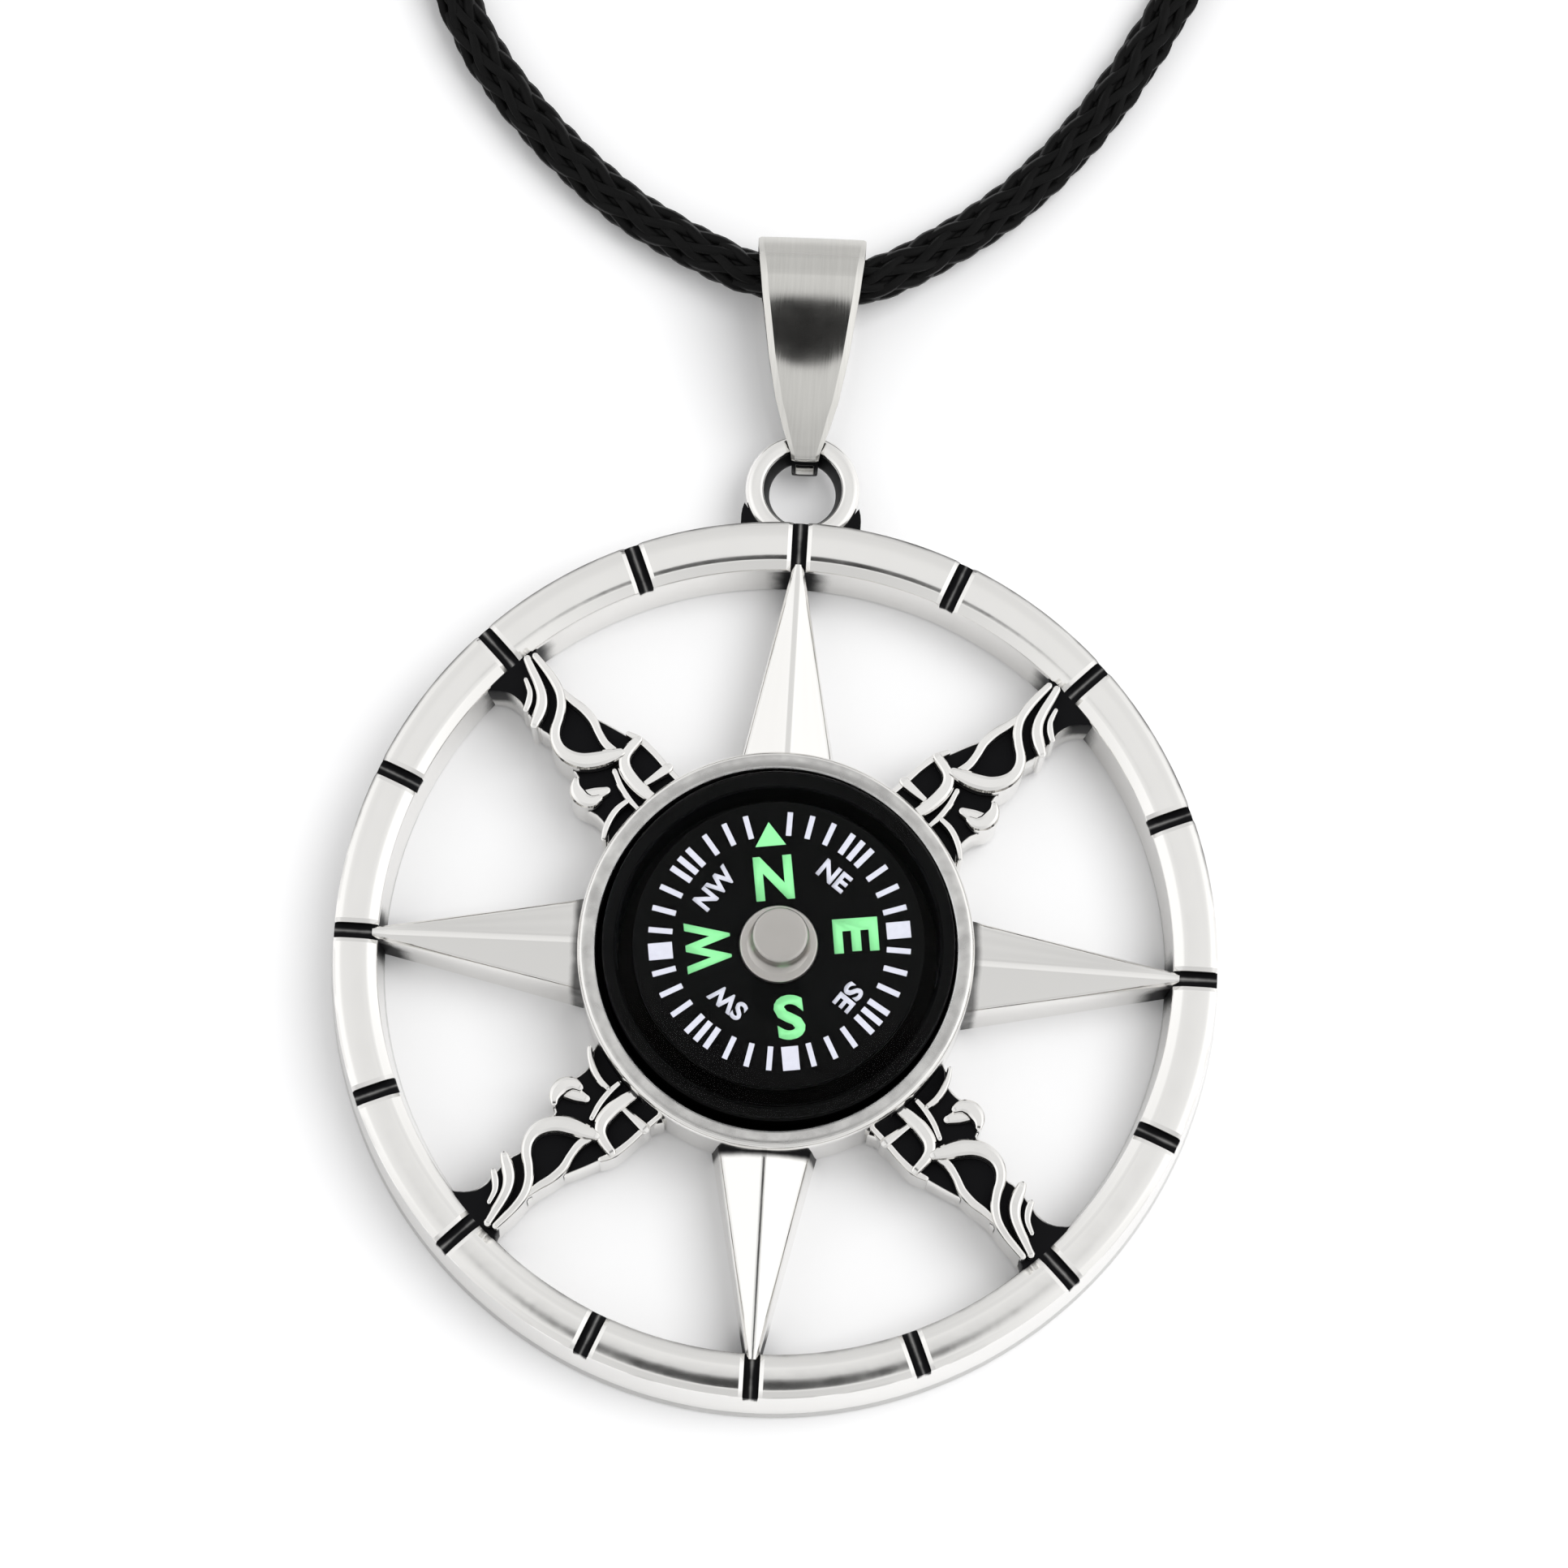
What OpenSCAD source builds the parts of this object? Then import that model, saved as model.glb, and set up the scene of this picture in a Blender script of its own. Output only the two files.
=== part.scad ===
// Compass pendant: a cast steel rose with a turning compass card, hung by a folded bail on a braided cord.
// It lies on its back. The hub axis is Z, the surface it lies on is z = 0, and +Y runs to the bail.

/* [Rim] */
// Outer radius of the rim
rim_r = 23.8; // [22:0.1:26]
// Width of the rim's face, measured along a radius
rim_w = 2.45; // [1.8:0.05:3]
// Height of the rim's face above the surface it lies on
rim_h = 4; // [3:0.1:5]
// Bevel along both edges of the face
rim_bevel = 0.3; // [0.1:0.05:0.5]
// How far the rim's outer side leans outwards, towards the surface it lies on
rim_draft = 0.4; // [0:0.05:0.5]
// Number of blocks that the rim is cut into
blocks = 16; // [8:8:32]
// Width of the groove between two blocks
groove_w = 0.75; // [0.5:0.05:1.2]
// Depth of the groove
groove_d = 0.5; // [0.2:0.05:1]

/* [Hub cup] */
// Outer radius of the cup
hub_r = 10.65; // [10:0.05:12]
// Width of the cup's lip
lip_w = 1; // [0.8:0.05:1.5]
// Height of the lip
hub_h = 5.8; // [5:0.1:7]
// Thickness of the cup's floor
hub_floor = 1.2; // [0.8:0.1:2]

/* [Rays] */
// Width of a ray at the hub, at its foot
ray_foot = 5.8; // [4:0.1:7]
// Width of a ray at the hub, between the edges of its two facets
ray_face = 5.1; // [3.5:0.1:6]
// Width of a ray where it meets the rim
ray_tip = 0.5; // [0.3:0.05:1]
// Height of the facets' outer edges
ray_edge_h = 3.7; // [3:0.1:4.2]
// Height of the ridge at the hub
ray_ridge_h = 4.9; // [4:0.1:5.5]

/* [Scroll spokes] */
// Height of the sunk ground between the strands
ground_h = 3.5; // [2.5:0.1:4]
// Height of the lowest strands above the surface that the rose lies on
strand_h = 4; // [3.9:0.1:4.6]

/* [Top loop] */
// Distance of the loop's centre from the hub axis
loop_y = 26.2; // [25.9:0.1:26.5]
// Outer radius of the loop
loop_r = 3.15; // [3:0.05:3.4]
// Width of the loop's band
loop_band = 1; // [0.9:0.05:1.2]
// Thickness of the loop's band
loop_t = 1.6; // [1.2:0.1:1.8]
// Height of the middle of the band
loop_z = 2.2; // [2:0.05:2.4]

/* [Bail] */
// Thickness of the folded strip
strip_t = 0.5; // [0.4:0.05:0.6]
// Inner radius of the eye that holds the cord
eye_r = 2.45; // [2.4:0.05:2.6]
// Distance of the eye's centre from the hub axis
eye_y = 37.5; // [37.4:0.05:37.6]
// Inner radius of the fold that passes through the loop
fold_r = 1.4; // [1.3:0.05:1.5]
// How far the front of the strip bulges between eye and fold
bail_bulge = 0.35; // [0:0.05:0.5]
// Lean of the bail to the left, in degrees
bail_lean = 1.3; // [-3:0.1:3]

/* [Compass] */
// Radius of the black capsule
capsule_r = 9.4; // [9:0.05:9.45]
// Wall of the capsule
capsule_t = 0.8; // [0.6:0.1:1]
// Height of the capsule's edge
capsule_h = 5.9; // [5:0.1:6.5]
// Radius of the card
card_r = 7.75; // [7:0.05:8]
// Thickness of the card
card_t = 0.4; // [0.3:0.05:0.6]
// Height of the card's printed face
card_z = 6.1; // [5:0.1:6.5]
// Radius of the foot of the metal cap on the card
cap_foot_r = 2.1; // [1.8:0.05:2.4]
// Radius of the crown of the metal cap
cap_crown_r = 1.5; // [1.2:0.05:1.6]
// How far the crown sits off the middle of its foot, along Y
crown_shift = 0.25; // [-0.4:0.05:0.4]
// Height of the crown above the card
cap_h = 1.5; // [1:0.1:1.8]
// Radius of the steel pin that the card turns on
pin_r = 0.4; // [0.3:0.05:0.6]
// Clearance round the pin
pin_gap = 0.06; // [0.03:0.01:0.1]
// How far the capsule sits off the hub axis, along X
dial_x = 0.12; // [-0.15:0.01:0.15]
// How far the capsule sits off the hub axis, along Y
dial_y = 0.12; // [-0.15:0.01:0.15]
// Height of the clear dome
dome_h = 8.4; // [8:0.1:9]

/* [Cord] */
// Diameter of the braided cord
cord_d = 2.6; // [2:0.1:3]
// Sides of the cord's solid
cord_sides = 8; // [8:1:12]
// Radius of the barrel clasp
clasp_r = 2.3; // [2:0.1:3]
// Length of the barrel clasp
clasp_l = 14; // [14:1:14]

/* [Hidden] */
$fn = 96;

steel = [0.78, 0.77, 0.75];
black = [0.05, 0.05, 0.06];
overlap = 0.35;
rim_in = rim_r - rim_w;
lip_in = hub_r - lip_w;
lip_round = 0.25;
hair_gap = 0.05;
dial = [dial_x, dial_y, 0];
eye_z = eye_r + strip_t;
fold_y = loop_y + loop_r - 0.22;
fold_start = 112;
pin_foot_z = hub_floor + hair_gap + 0.8;
pin_fit_r = pin_r - 0.02;
cap_roof = 0.45;
clasp_y = 107;
cord_reach = 2.5 * cord_d;

// The scroll spokes. u runs outwards along the spoke and v across it, on the side of the east or west ray
// when positive. Each strand is its height over the lowest strands, then its points as u, v and width.
SWEEP = [0.6, [[13.72, -1, 0.5], [13.95, -0.5, 0.8], [14.28, 0.15, 0.96], [14.75, 0.78, 0.96],
    [15.35, 1.16, 0.86], [16, 1.28, 0.72], [16.6, 1.1, 0.62], [17.05, 0.7, 0.58], [17.4, 0.15, 0.56],
    [17.87, -0.4, 0.52], [18.55, -0.83, 0.5], [19.5, -1.04, 0.44], [20.8, -1.12, 0.34]]];
LEAF = [0.35, [[14, -0.82, 0.5], [14.7, -0.76, 0.46], [15.4, -0.9, 0.44], [16.1, -1.12, 0.5],
    [16.9, -1.14, 0.5], [17.7, -1, 0.44], [18.4, -0.95, 0.3]]];
RIM_STRAND = [0.5, [[18, 1.38, 0.5], [18.28, 0.8, 0.68], [18.56, 0.36, 0.66], [19.02, -0.02, 0.58],
    [19.65, -0.29, 0.52], [20.35, -0.5, 0.48], [21, -0.7, 0.4], [21.6, -0.8, 0.4]]];
BEAD = [0.3, [[18.98, 1.15, 0.36], [19.2, 0.76, 0.4], [19.58, 0.36, 0.32], [20.2, 0.1, 0.24]]];
HUB_STRAND = [0.5, [[10.4, -0.7, 0.6], [11.4, -0.56, 0.72], [12.2, -0.54, 0.78], [12.9, -0.66, 0.76],
    [13.36, -1, 0.68], [13.56, -1.5, 0.6], [13.64, -2.2, 0.5]]];
THIN_STRAND = [0.3, [[10.4, 0.3, 0.26], [11.6, 0.29, 0.34], [12.4, 0.15, 0.34], [13.2, -0.14, 0.3]]];
LIP_STRAND = [0.35, [[10.5, 2.9, 0.26], [11.14, 2.3, 0.34], [11.42, 1.7, 0.38], [11.55, 1.1, 0.36],
    [11.52, 0.5, 0.3]]];
SCROLL = [0.5, [[12.62, 1.5, 0.4], [12.76, 1.9, 0.7], [13.15, 2.15, 0.85], [13.6, 2.15, 0.85],
    [13.95, 2, 0.6], [14.15, 1.8, 0.4]]];
SCROLL_PAD = [0.1, [[12.75, 0.9, 0.5], [12.98, 1.4, 0.8], [13.3, 1.9, 0.7]]];
TOOTH = [0.2, [[11.62, -0.9, 0.3], [11.56, -1.4, 0.42], [11.5, -2, 0.54], [11.46, -2.4, 0.6]]];
BORDER = [0.1, [[10.4, -2.42, 0.3], [11.6, -2.4, 0.34], [12.6, -2.42, 0.36], [13.6, -2.34, 0.4],
    [14.3, -2.1, 0.3]]];
STRANDS = [SWEEP, LEAF, RIM_STRAND, BEAD, HUB_STRAND, THIN_STRAND, LIP_STRAND, SCROLL, SCROLL_PAD, TOOTH,
    BORDER];
// Longest straight stretch in a strand's outline
strand_reach = 0.6;
// The outline of the sunk ground, once round
GROUND = [[10.2, 2.8], [10.7, 2.65], [11.1, 2.3], [11.5, 2.15], [12.1, 2.15], [12.5, 2.25],
    [13.1, 2.45], [13.8, 2.45], [14.2, 2.05], [14.4, 1.5], [15.2, 1.4], [16.4, 1.3], [17.1, 1.12],
    [17.6, 1.25], [18.2, 1.25], [19, 1.2], [19.6, 1.1], [20.3, 1.2], [20.8, 1.5], [21.1, 1.8],
    [21.6, 2], [21.6, -1.6], [21.1, -1.4], [20.5, -1.2], [19.2, -1.14], [18, -1.12], [16.8, -1.22],
    [15.7, -1.65], [14.6, -2.02], [13.6, -2.32], [12.5, -2.42], [11.3, -2.4], [10.2, -2.45]];

// Half width of the bail, at distances from the hub axis
BAIL_OUTLINE = [[27, 0.7], [27.9, 0.78], [29.2, 1.28], [30.7, 1.73], [33.1, 2.2], [36.6, 2.68], [38.5, 2.88],
    [41, 3.02]];

// The cord's route, from the clasp's one end round to its other. The hidden end is folded back in the loop.
CORD_ROUTE = [
    [8, 114, 2.3], [8, 116, 2.3], [8, 118, 2.3], [8, 124, 1.4], [8, 134, 1.3], [8, 146, 1.3],
    [10.5, 152, 1.3], [15.5, 154, 1.3], [20.5, 152, 1.3], [23, 146, 1.3],
    [23, 130, 1.3], [23, 114, 1.3], [23, 98, 1.3], [23, 80, 1.3],
    [22.5, 65, 1.3], [19.5, 56.8, 1.3], [15.5, 49.6, 1.3], [11, 44.2, 1.3], [6.5, 40.6, 1.8], [3, 38.5, 2.5],
    [0, 38.35, 2.45],
    [-3, 38.5, 2.5], [-5.5, 39.5, 1.9], [-11, 42.6, 1.3], [-16.5, 47.5, 1.3], [-20.5, 53, 1.3],
    [-22.6, 60, 1.3], [-23, 74, 1.3],
    [-23, 92, 1.3], [-23, 110, 1.3], [-23, 128, 1.3], [-23, 146, 1.3],
    [-20.5, 152, 1.3], [-15.5, 154, 1.3], [-10.5, 152, 1.3], [-8, 146, 1.3],
    [-8, 130, 1.3], [-8, 112, 1.3], [-8, 94, 1.3], [-8, 76, 1.3],
    [-5.5, 70, 1.3], [0, 68, 1.3], [5.5, 70, 1.3], [8, 76, 1.3],
    [8, 88, 1.6], [8, 96, 2.3], [8, 98, 2.3], [8, 100, 2.3]];

// A point of a smooth curve through a, b, c and d, between b and c
function between(a, b, c, d, t) =
    0.5 * (2 * b + (c - a) * t + (2 * a - 5 * b + 4 * c - d) * t * t + (3 * b - a - 3 * c + d) * t * t * t);
// A smooth curve through points p, in stretches no longer than reach
function smooth(p, reach) = [
    for (i = [0:len(p) - 2]) let (steps = ceil(norm(p[i + 1] - p[i]) / reach)) for (k = [0:steps - 1])
        between(p[max(i - 1, 0)], p[i], p[i + 1], p[min(i + 2, len(p) - 1)], k / steps),
    p[len(p) - 1]];
function unit(v) = v / norm(v);
// Direction of a curve at its point i
function heading(p, i) = unit(p[min(i + 1, len(p) - 1)] - p[max(i - 1, 0)]);
function left_of(d) = [-d[1], d[0]];
function flat(v) = [v[0], v[1]];
// Outline of a strand, from its points
function strip(p) =
    let (q = [for (v = p) flat(v)])
    concat(
        [for (i = [0:len(p) - 1]) q[i] + left_of(heading(q, i)) * p[i][2] / 2],
        [for (i = [len(p) - 1:-1:0]) q[i] - left_of(heading(q, i)) * p[i][2] / 2]);
// Points on an arc
function arc(y, z, r, from, to, steps) =
    [for (k = [0:steps]) let (a = from + (to - from) * k / steps) [y + r * cos(a), z + r * sin(a)]];
// Side view of the bail's outer or inner face: eye, front, fold and back
function bail_side(offset) =
    let (fold = arc(fold_y, loop_z, fold_r + offset, fold_start, 270, 12))
    concat(
        arc(eye_y, eye_z, eye_r + offset, -90, 90, 12),
        [for (t = [0.1:0.1:0.9]) [
            eye_y + (fold[0][0] - eye_y) * t,
            (eye_z + eye_r + offset) * (1 - t) + fold[0][1] * t + bail_bulge * 4 * t * (1 - t)]],
        fold);
// A ray: two facets that meet in a ridge, on sloping flanks
function ray_section(x, foot, face, edge_h, ridge_h) = [
    [-foot / 2, x, 0], [foot / 2, x, 0], [face / 2, x, edge_h], [0, x, ridge_h], [-face / 2, x, edge_h]];
module ray() {
    tip_flare = 0.3;
    tip_drop = 0.1;
    near = ray_section(hub_r - lip_w + overlap, ray_foot, ray_face, ray_edge_h, ray_ridge_h);
    far = ray_section(rim_in + overlap, ray_tip + tip_flare, ray_tip, ray_edge_h, rim_h - tip_drop);
    n = len(near);
    polyhedron(
        points = concat(near, far),
        faces = concat(
            [[for (i = [n - 1:-1:0]) i], [for (i = [0:n - 1]) i + n]],
            [for (i = [0:n - 1]) let (j = (i + 1) % n) [i, n + j, n + i]],
            [for (i = [0:n - 1]) let (j = (i + 1) % n) [i, j, n + j]]),
        convexity = 2);
}

module scroll_spoke() {
    linear_extrude(ground_h)
        polygon(GROUND);
    for (s = STRANDS)
        linear_extrude(strand_h + s[0])
            polygon(strip(smooth(s[1], strand_reach)));
}

module scroll_spokes() {
    for (side = [0, 1], end = [0, 1])
        mirror([side, 0, 0])
            mirror([0, end, 0])
                rotate(45)
                    mirror([0, 1, 0])
                        scroll_spoke();
}

module rim() {
    past = 1;
    difference() {
        rotate_extrude()
            polygon([
                [rim_in, 0], [rim_r + rim_draft, 0], [rim_r, rim_h - rim_bevel], [rim_r - rim_bevel, rim_h],
                [rim_in + rim_bevel, rim_h], [rim_in, rim_h - rim_bevel]]);
        for (k = [0:blocks - 1])
            rotate(360 / blocks * k)
                translate([rim_in - past, -groove_w / 2, rim_h - groove_d])
                    cube([rim_w + 2 * past, groove_w, groove_d + past]);
    }
}

module hub_cup() {
    rotate_extrude()
        polygon([
            [0, 0], [hub_r, 0], [hub_r, hub_h - lip_round], [hub_r - lip_round, hub_h],
            [lip_in + lip_round, hub_h], [lip_in, hub_h - lip_round], [lip_in, hub_floor], [0, hub_floor]]);
}

// The band of the top loop: flat front and back with bevelled edges, and a hole that narrows towards the back
module top_loop() {
    edge = loop_band * 0.36;
    inner = loop_r - loop_band;
    taper = 0.25;
    translate([0, loop_y, loop_z])
        rotate_extrude()
            polygon([
                [inner - taper, -loop_t / 2], [loop_r - edge, -loop_t / 2],
                [loop_r, edge - loop_t / 2], [loop_r, loop_t / 2 - edge], [loop_r - edge, loop_t / 2],
                [inner + edge, loop_t / 2], [inner, loop_t / 2 - edge]]);
    loop_foot();
}

// The web between the loop and the rim, on both sides of the groove
module loop_foot() {
    low = loop_z - loop_t / 2 + 0.15;
    high = loop_z + loop_t / 2 - 0.3;
    half = [
        [loop_r + 0.15, rim_r - 0.5], [loop_r + 0.15, rim_r + 1.2], [loop_r + 0.02, rim_r + 1.6],
        [loop_r - 0.3, rim_r + 1.2], [loop_r - 0.8, rim_r + 0.8], [1.3, rim_r + 0.5]];
    translate([0, 0, low])
        linear_extrude(high - low)
            polygon(concat(half, [for (i = [len(half) - 1:-1:0]) [-half[i][0], half[i][1]]]));
}

module frame() {
    color(steel) {
        rim();
        hub_cup();
        for (k = [0:3])
            rotate(90 * k)
                ray();
        scroll_spokes();
        top_loop();
    }
}

// Outline of the bail's front
function bail_front() =
    let (last = len(BAIL_OUTLINE) - 1)
    concat(
        [for (p = BAIL_OUTLINE) [p[1], p[0]]],
        [for (i = [last:-1:0]) [-BAIL_OUTLINE[i][1], BAIL_OUTLINE[i][0]]]);

module bail() {
    reach = 8;
    color(steel)
        translate([0, fold_y, 0])
            rotate(bail_lean)
                translate([0, -fold_y, 0])
                    intersection() {
                        rotate([90, 0, 90])
                            translate([0, 0, -reach / 2])
                                linear_extrude(reach)
                                    difference() {
                                        polygon(bail_side(strip_t));
                                        polygon(bail_side(0));
                                    }
                        translate([0, 0, -1])
                            linear_extrude(reach)
                                polygon(bail_front());
                    }
}

// The black cup under the card, with a collar in its middle that holds the pin
module capsule() {
    inside_r = capsule_r - capsule_t;
    bottom_z = hub_floor + hair_gap;
    floor_z = bottom_z + 1;
    collar_z = floor_z + 0.6;
    color(black)
        translate(dial)
            rotate_extrude()
                polygon([
                    [0, bottom_z], [capsule_r, bottom_z], [capsule_r, capsule_h], [inside_r, capsule_h],
                    [inside_r, floor_z], [pin_r + 0.8, floor_z], [pin_r + 0.4, collar_z],
                    [pin_r, collar_z], [pin_r, pin_foot_z], [0, pin_foot_z]]);
}

// The clear dome: a spherical cap, hollow over the card, that stands on the capsule's edge
module cover() {
    edge_r = capsule_r - hair_gap;
    foot_z = capsule_h + 0.02;
    wall = 0.5;
    wall_h = 0.9;
    steps = 12;
    rise = dome_h - foot_z - wall_h;
    sphere_r = (edge_r * edge_r + rise * rise) / (2 * rise);
    sphere_z = dome_h - sphere_r;
    half = asin(edge_r / sphere_r);
    inner_r = sphere_r - wall;
    inner_edge = edge_r - capsule_t + 0.1;
    inner_half = asin(inner_edge / inner_r);
    color([0.9, 0.95, 1, 0.3])
        translate(dial)
            rotate_extrude()
                polygon(concat(
                    [for (k = [0:steps]) let (a = half * k / steps)
                        [sphere_r * sin(a), sphere_z + sphere_r * cos(a)]],
                    [[edge_r, foot_z], [inner_edge, foot_z]],
                    [for (k = [steps:-1:0]) let (a = inner_half * k / steps)
                        [inner_r * sin(a), sphere_z + inner_r * cos(a)]]));
}

// The pin stops short of the blind bore in the card's cap
module pivot_pin() {
    top_z = card_z + cap_h - cap_roof - 0.1;
    color(steel)
        translate(dial)
            translate([0, 0, pin_foot_z])
                cylinder(r = pin_fit_r, h = top_z - pin_foot_z);
}

module card() {
    hole_r = cap_crown_r - 0.4;
    color(black)
        translate(dial)
            translate([0, 0, card_z - card_t])
                difference() {
                    cylinder(r = card_r, h = card_t);
                    translate([0, 0, -1])
                        cylinder(r = hole_r, h = card_t + 2);
                }
}

// The metal cap on the card, with its crown off centre and a blind bore that turns on the pin
module card_cap() {
    foot_h = 0.3;
    seat_gap = 0.02;
    color([0.69, 0.66, 0.63])
        translate(dial)
            translate([0, 0, card_z + seat_gap])
                difference() {
                    union() {
                        cylinder(r = cap_foot_r, h = foot_h);
                        translate([0, crown_shift, 0])
                            cylinder(r = cap_crown_r, h = cap_h - seat_gap);
                    }
                    translate([0, 0, -1])
                        cylinder(r = pin_fit_r + pin_gap, h = cap_h - seat_gap - cap_roof + 1);
                }
}

// Points of the cord's ring i, square to the route and with one corner straight down
function ring_points(p, i) =
    let (d = heading(p, i), side = unit(cross(d, [0, 0, 1])), up = cross(side, d))
    [for (k = [0:cord_sides - 1]) let (a = 360 * k / cord_sides)
        p[i] + (side * sin(a) - up * cos(a)) * cord_d / 2];

module cord() {
    route = smooth(CORD_ROUTE, cord_reach);
    n = cord_sides;
    rings = len(route);
    color(black)
        polyhedron(
            points = [for (i = [0:rings - 1]) each ring_points(route, i)],
            faces = concat(
                [[for (k = [n - 1:-1:0]) k]],
                [for (i = [0:rings - 2], k = [0:n - 1]) [i * n + k, i * n + (k + 1) % n, i * n + n + k]],
                [for (i = [0:rings - 2], k = [0:n - 1])
                    [i * n + (k + 1) % n, i * n + n + (k + 1) % n, i * n + n + k]],
                [[for (k = [0:n - 1]) (rings - 1) * n + k]]),
            convexity = 10);
}

// The barrel clasp, whose two round halves meet at a groove
module clasp() {
    half_l = clasp_l / 2;
    groove = 0.3;
    edge = 0.6;
    color(steel)
        translate([CORD_ROUTE[0][0], clasp_y, clasp_r])
            rotate([90, 0, 0])
                rotate_extrude()
                    polygon([
                        [0, -half_l], [clasp_r - edge, -half_l], [clasp_r, edge - half_l], [clasp_r, -groove],
                        [clasp_r - groove, 0], [clasp_r, groove], [clasp_r, half_l - edge],
                        [clasp_r - edge, half_l], [0, half_l]]);
}

frame();
bail();
capsule();
cover();
pivot_pin();
card();
card_cap();
cord();
clasp();
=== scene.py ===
import math

import bmesh
import bpy
from mathutils import Matrix, Vector


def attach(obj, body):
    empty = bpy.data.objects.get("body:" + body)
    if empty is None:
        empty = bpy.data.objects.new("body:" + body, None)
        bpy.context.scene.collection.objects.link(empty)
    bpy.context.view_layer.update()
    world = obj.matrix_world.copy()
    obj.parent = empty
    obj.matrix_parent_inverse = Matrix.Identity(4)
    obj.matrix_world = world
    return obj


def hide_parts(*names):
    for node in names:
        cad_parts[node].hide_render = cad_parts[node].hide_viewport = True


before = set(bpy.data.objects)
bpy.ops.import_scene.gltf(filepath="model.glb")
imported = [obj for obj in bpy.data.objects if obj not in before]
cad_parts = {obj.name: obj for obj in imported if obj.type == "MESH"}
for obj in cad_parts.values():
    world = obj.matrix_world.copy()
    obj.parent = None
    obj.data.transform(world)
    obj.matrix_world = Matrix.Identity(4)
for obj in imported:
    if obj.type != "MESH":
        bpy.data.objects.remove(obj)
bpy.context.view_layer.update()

# Sizes are in millimetres here and become metres where a mesh is made.
MM = 0.001

# Camera, set from the photo: its place, where it looks, how far it rolls and its lens
CAMERA_AT = (-0.09, -46.94, 257.84)
CAMERA_LOOKS_AT = (-0.09, 9.33, 4.0)
CAMERA_ROLL = 3.326
CAMERA_LENS = 110.7
SENSOR = 36.0

# Rim
RIM_R = 23.7
RIM_IN = 21.35
RIM_H = 4.0
# How much the rim and the hub cup are drawn out along Y, where the photo shows them taller than wide
RIM_OVAL = 0.0145
HUB_OVAL = 0.011
# How far the rim's inner and outer wall lean out towards the foot, and the rounding of the foot
RIM_DRAFT_IN = 0.2
RIM_DRAFT_OUT = 0.33
RIM_ROUND = 0.3
# Profile of the rim's face: distance from its inner edge and the slope from there on, in degrees
RIM_FACE = [(0, 62), (0.04, 32), (0.44, 20), (0.5, 13), (0.55, 10.5), (0.62, 8), (0.7, 5), (0.77, 2),
            (0.9, 1.5), (1.3, 0), (1.47, -1), (1.58, -2.5), (1.7, -4), (1.82, -5.5), (1.91, -7.5),
            (1.97, -14), (2.04, -26), (2.31, -50), (2.35, 0)]
# All of the face lies above this height
FACE_LOW = 3.3
BLOCKS = 16
GROOVE_W = 0.75
GROOVE_D = 0.5
# Height of the chamfer along a groove, and how far it reaches past the groove's edge
CHAMFER_H = 0.2
CHAMFER_REACH = 0.27

# Hub cup
HUB_R = 10.65
LIP_IN = 9.65
HUB_H = 5.8
HUB_FLOOR = 1.2

# Rays
RAY_FOOT = 5.8
RAY_FACE = 5.1
RAY_TIP = 0.5
RAY_EDGE_H = 3.7
RAY_RIDGE_H = 4.9
RAY_TIP_H = RIM_H - 0.1
RAY_RIPPLE = 0.004

# Top loop
LOOP_Y = 26.2
LOOP_R = 3.15
LOOP_BAND = 1.0
LOOP_T = 1.6
LOOP_Z = 2.2

# Bail
STRIP_T = 0.5
EYE_R = 2.47
EYE_Y = 37.5
EYE_Z = EYE_R + STRIP_T
FOLD_R = 1.4
FOLD_Y = LOOP_Y + LOOP_R - 0.22
FOLD_START = 112
# The strip's back follows the outline this much further down, so the front covers it
BACK_INSET = 1.3
BAIL_BULGE = 0.35
BAIL_BEVEL = 0.36
BAIL_LEAN = 1.3
# The bail's polish turns to satin between these distances from the hub axis
SATIN_FROM = EYE_Y + 0.7
SATIN_FULL = EYE_Y + 1.6
SATIN_ROUGH = 0.42

# Compass
DIAL = (0.12, 0.12)
CARD_TURN = 8.5
CAPSULE_R = 9.4
CAPSULE_T = 0.8
CAPSULE_H = 5.9
CAPSULE_BOTTOM = HUB_FLOOR + 0.05
CARD_R = 7.75
CARD_T = 0.4
CARD_Z = 6.1
CAP_FOOT_R = 2.1
CAP_CROWN_R = 1.5
CAP_H = 1.5
CROWN_SHIFT = (0.06, 0.26)
DOME_H = 8.4
PRINT_T = 0.02
PRINT_DEPTH = 0.01
PRINT_AT = (DIAL[0] + 0.04, DIAL[1] + 0.22)
PIN_R = 0.4
PIN_HOLE_R = 0.44
TICK_OUT = 6.98
TICK_IN = 5.7
TICK_W = 0.29
CLOSE_TICK_W = 0.32
BLOCK_TICK_W = 0.9
# How much the letters are made bolder
LETTER_WEIGHT = 0.035

# Cord and clasp
CLASP_R = 2.3
CLASP_L = 14
CLASP_Y = 107

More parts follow.
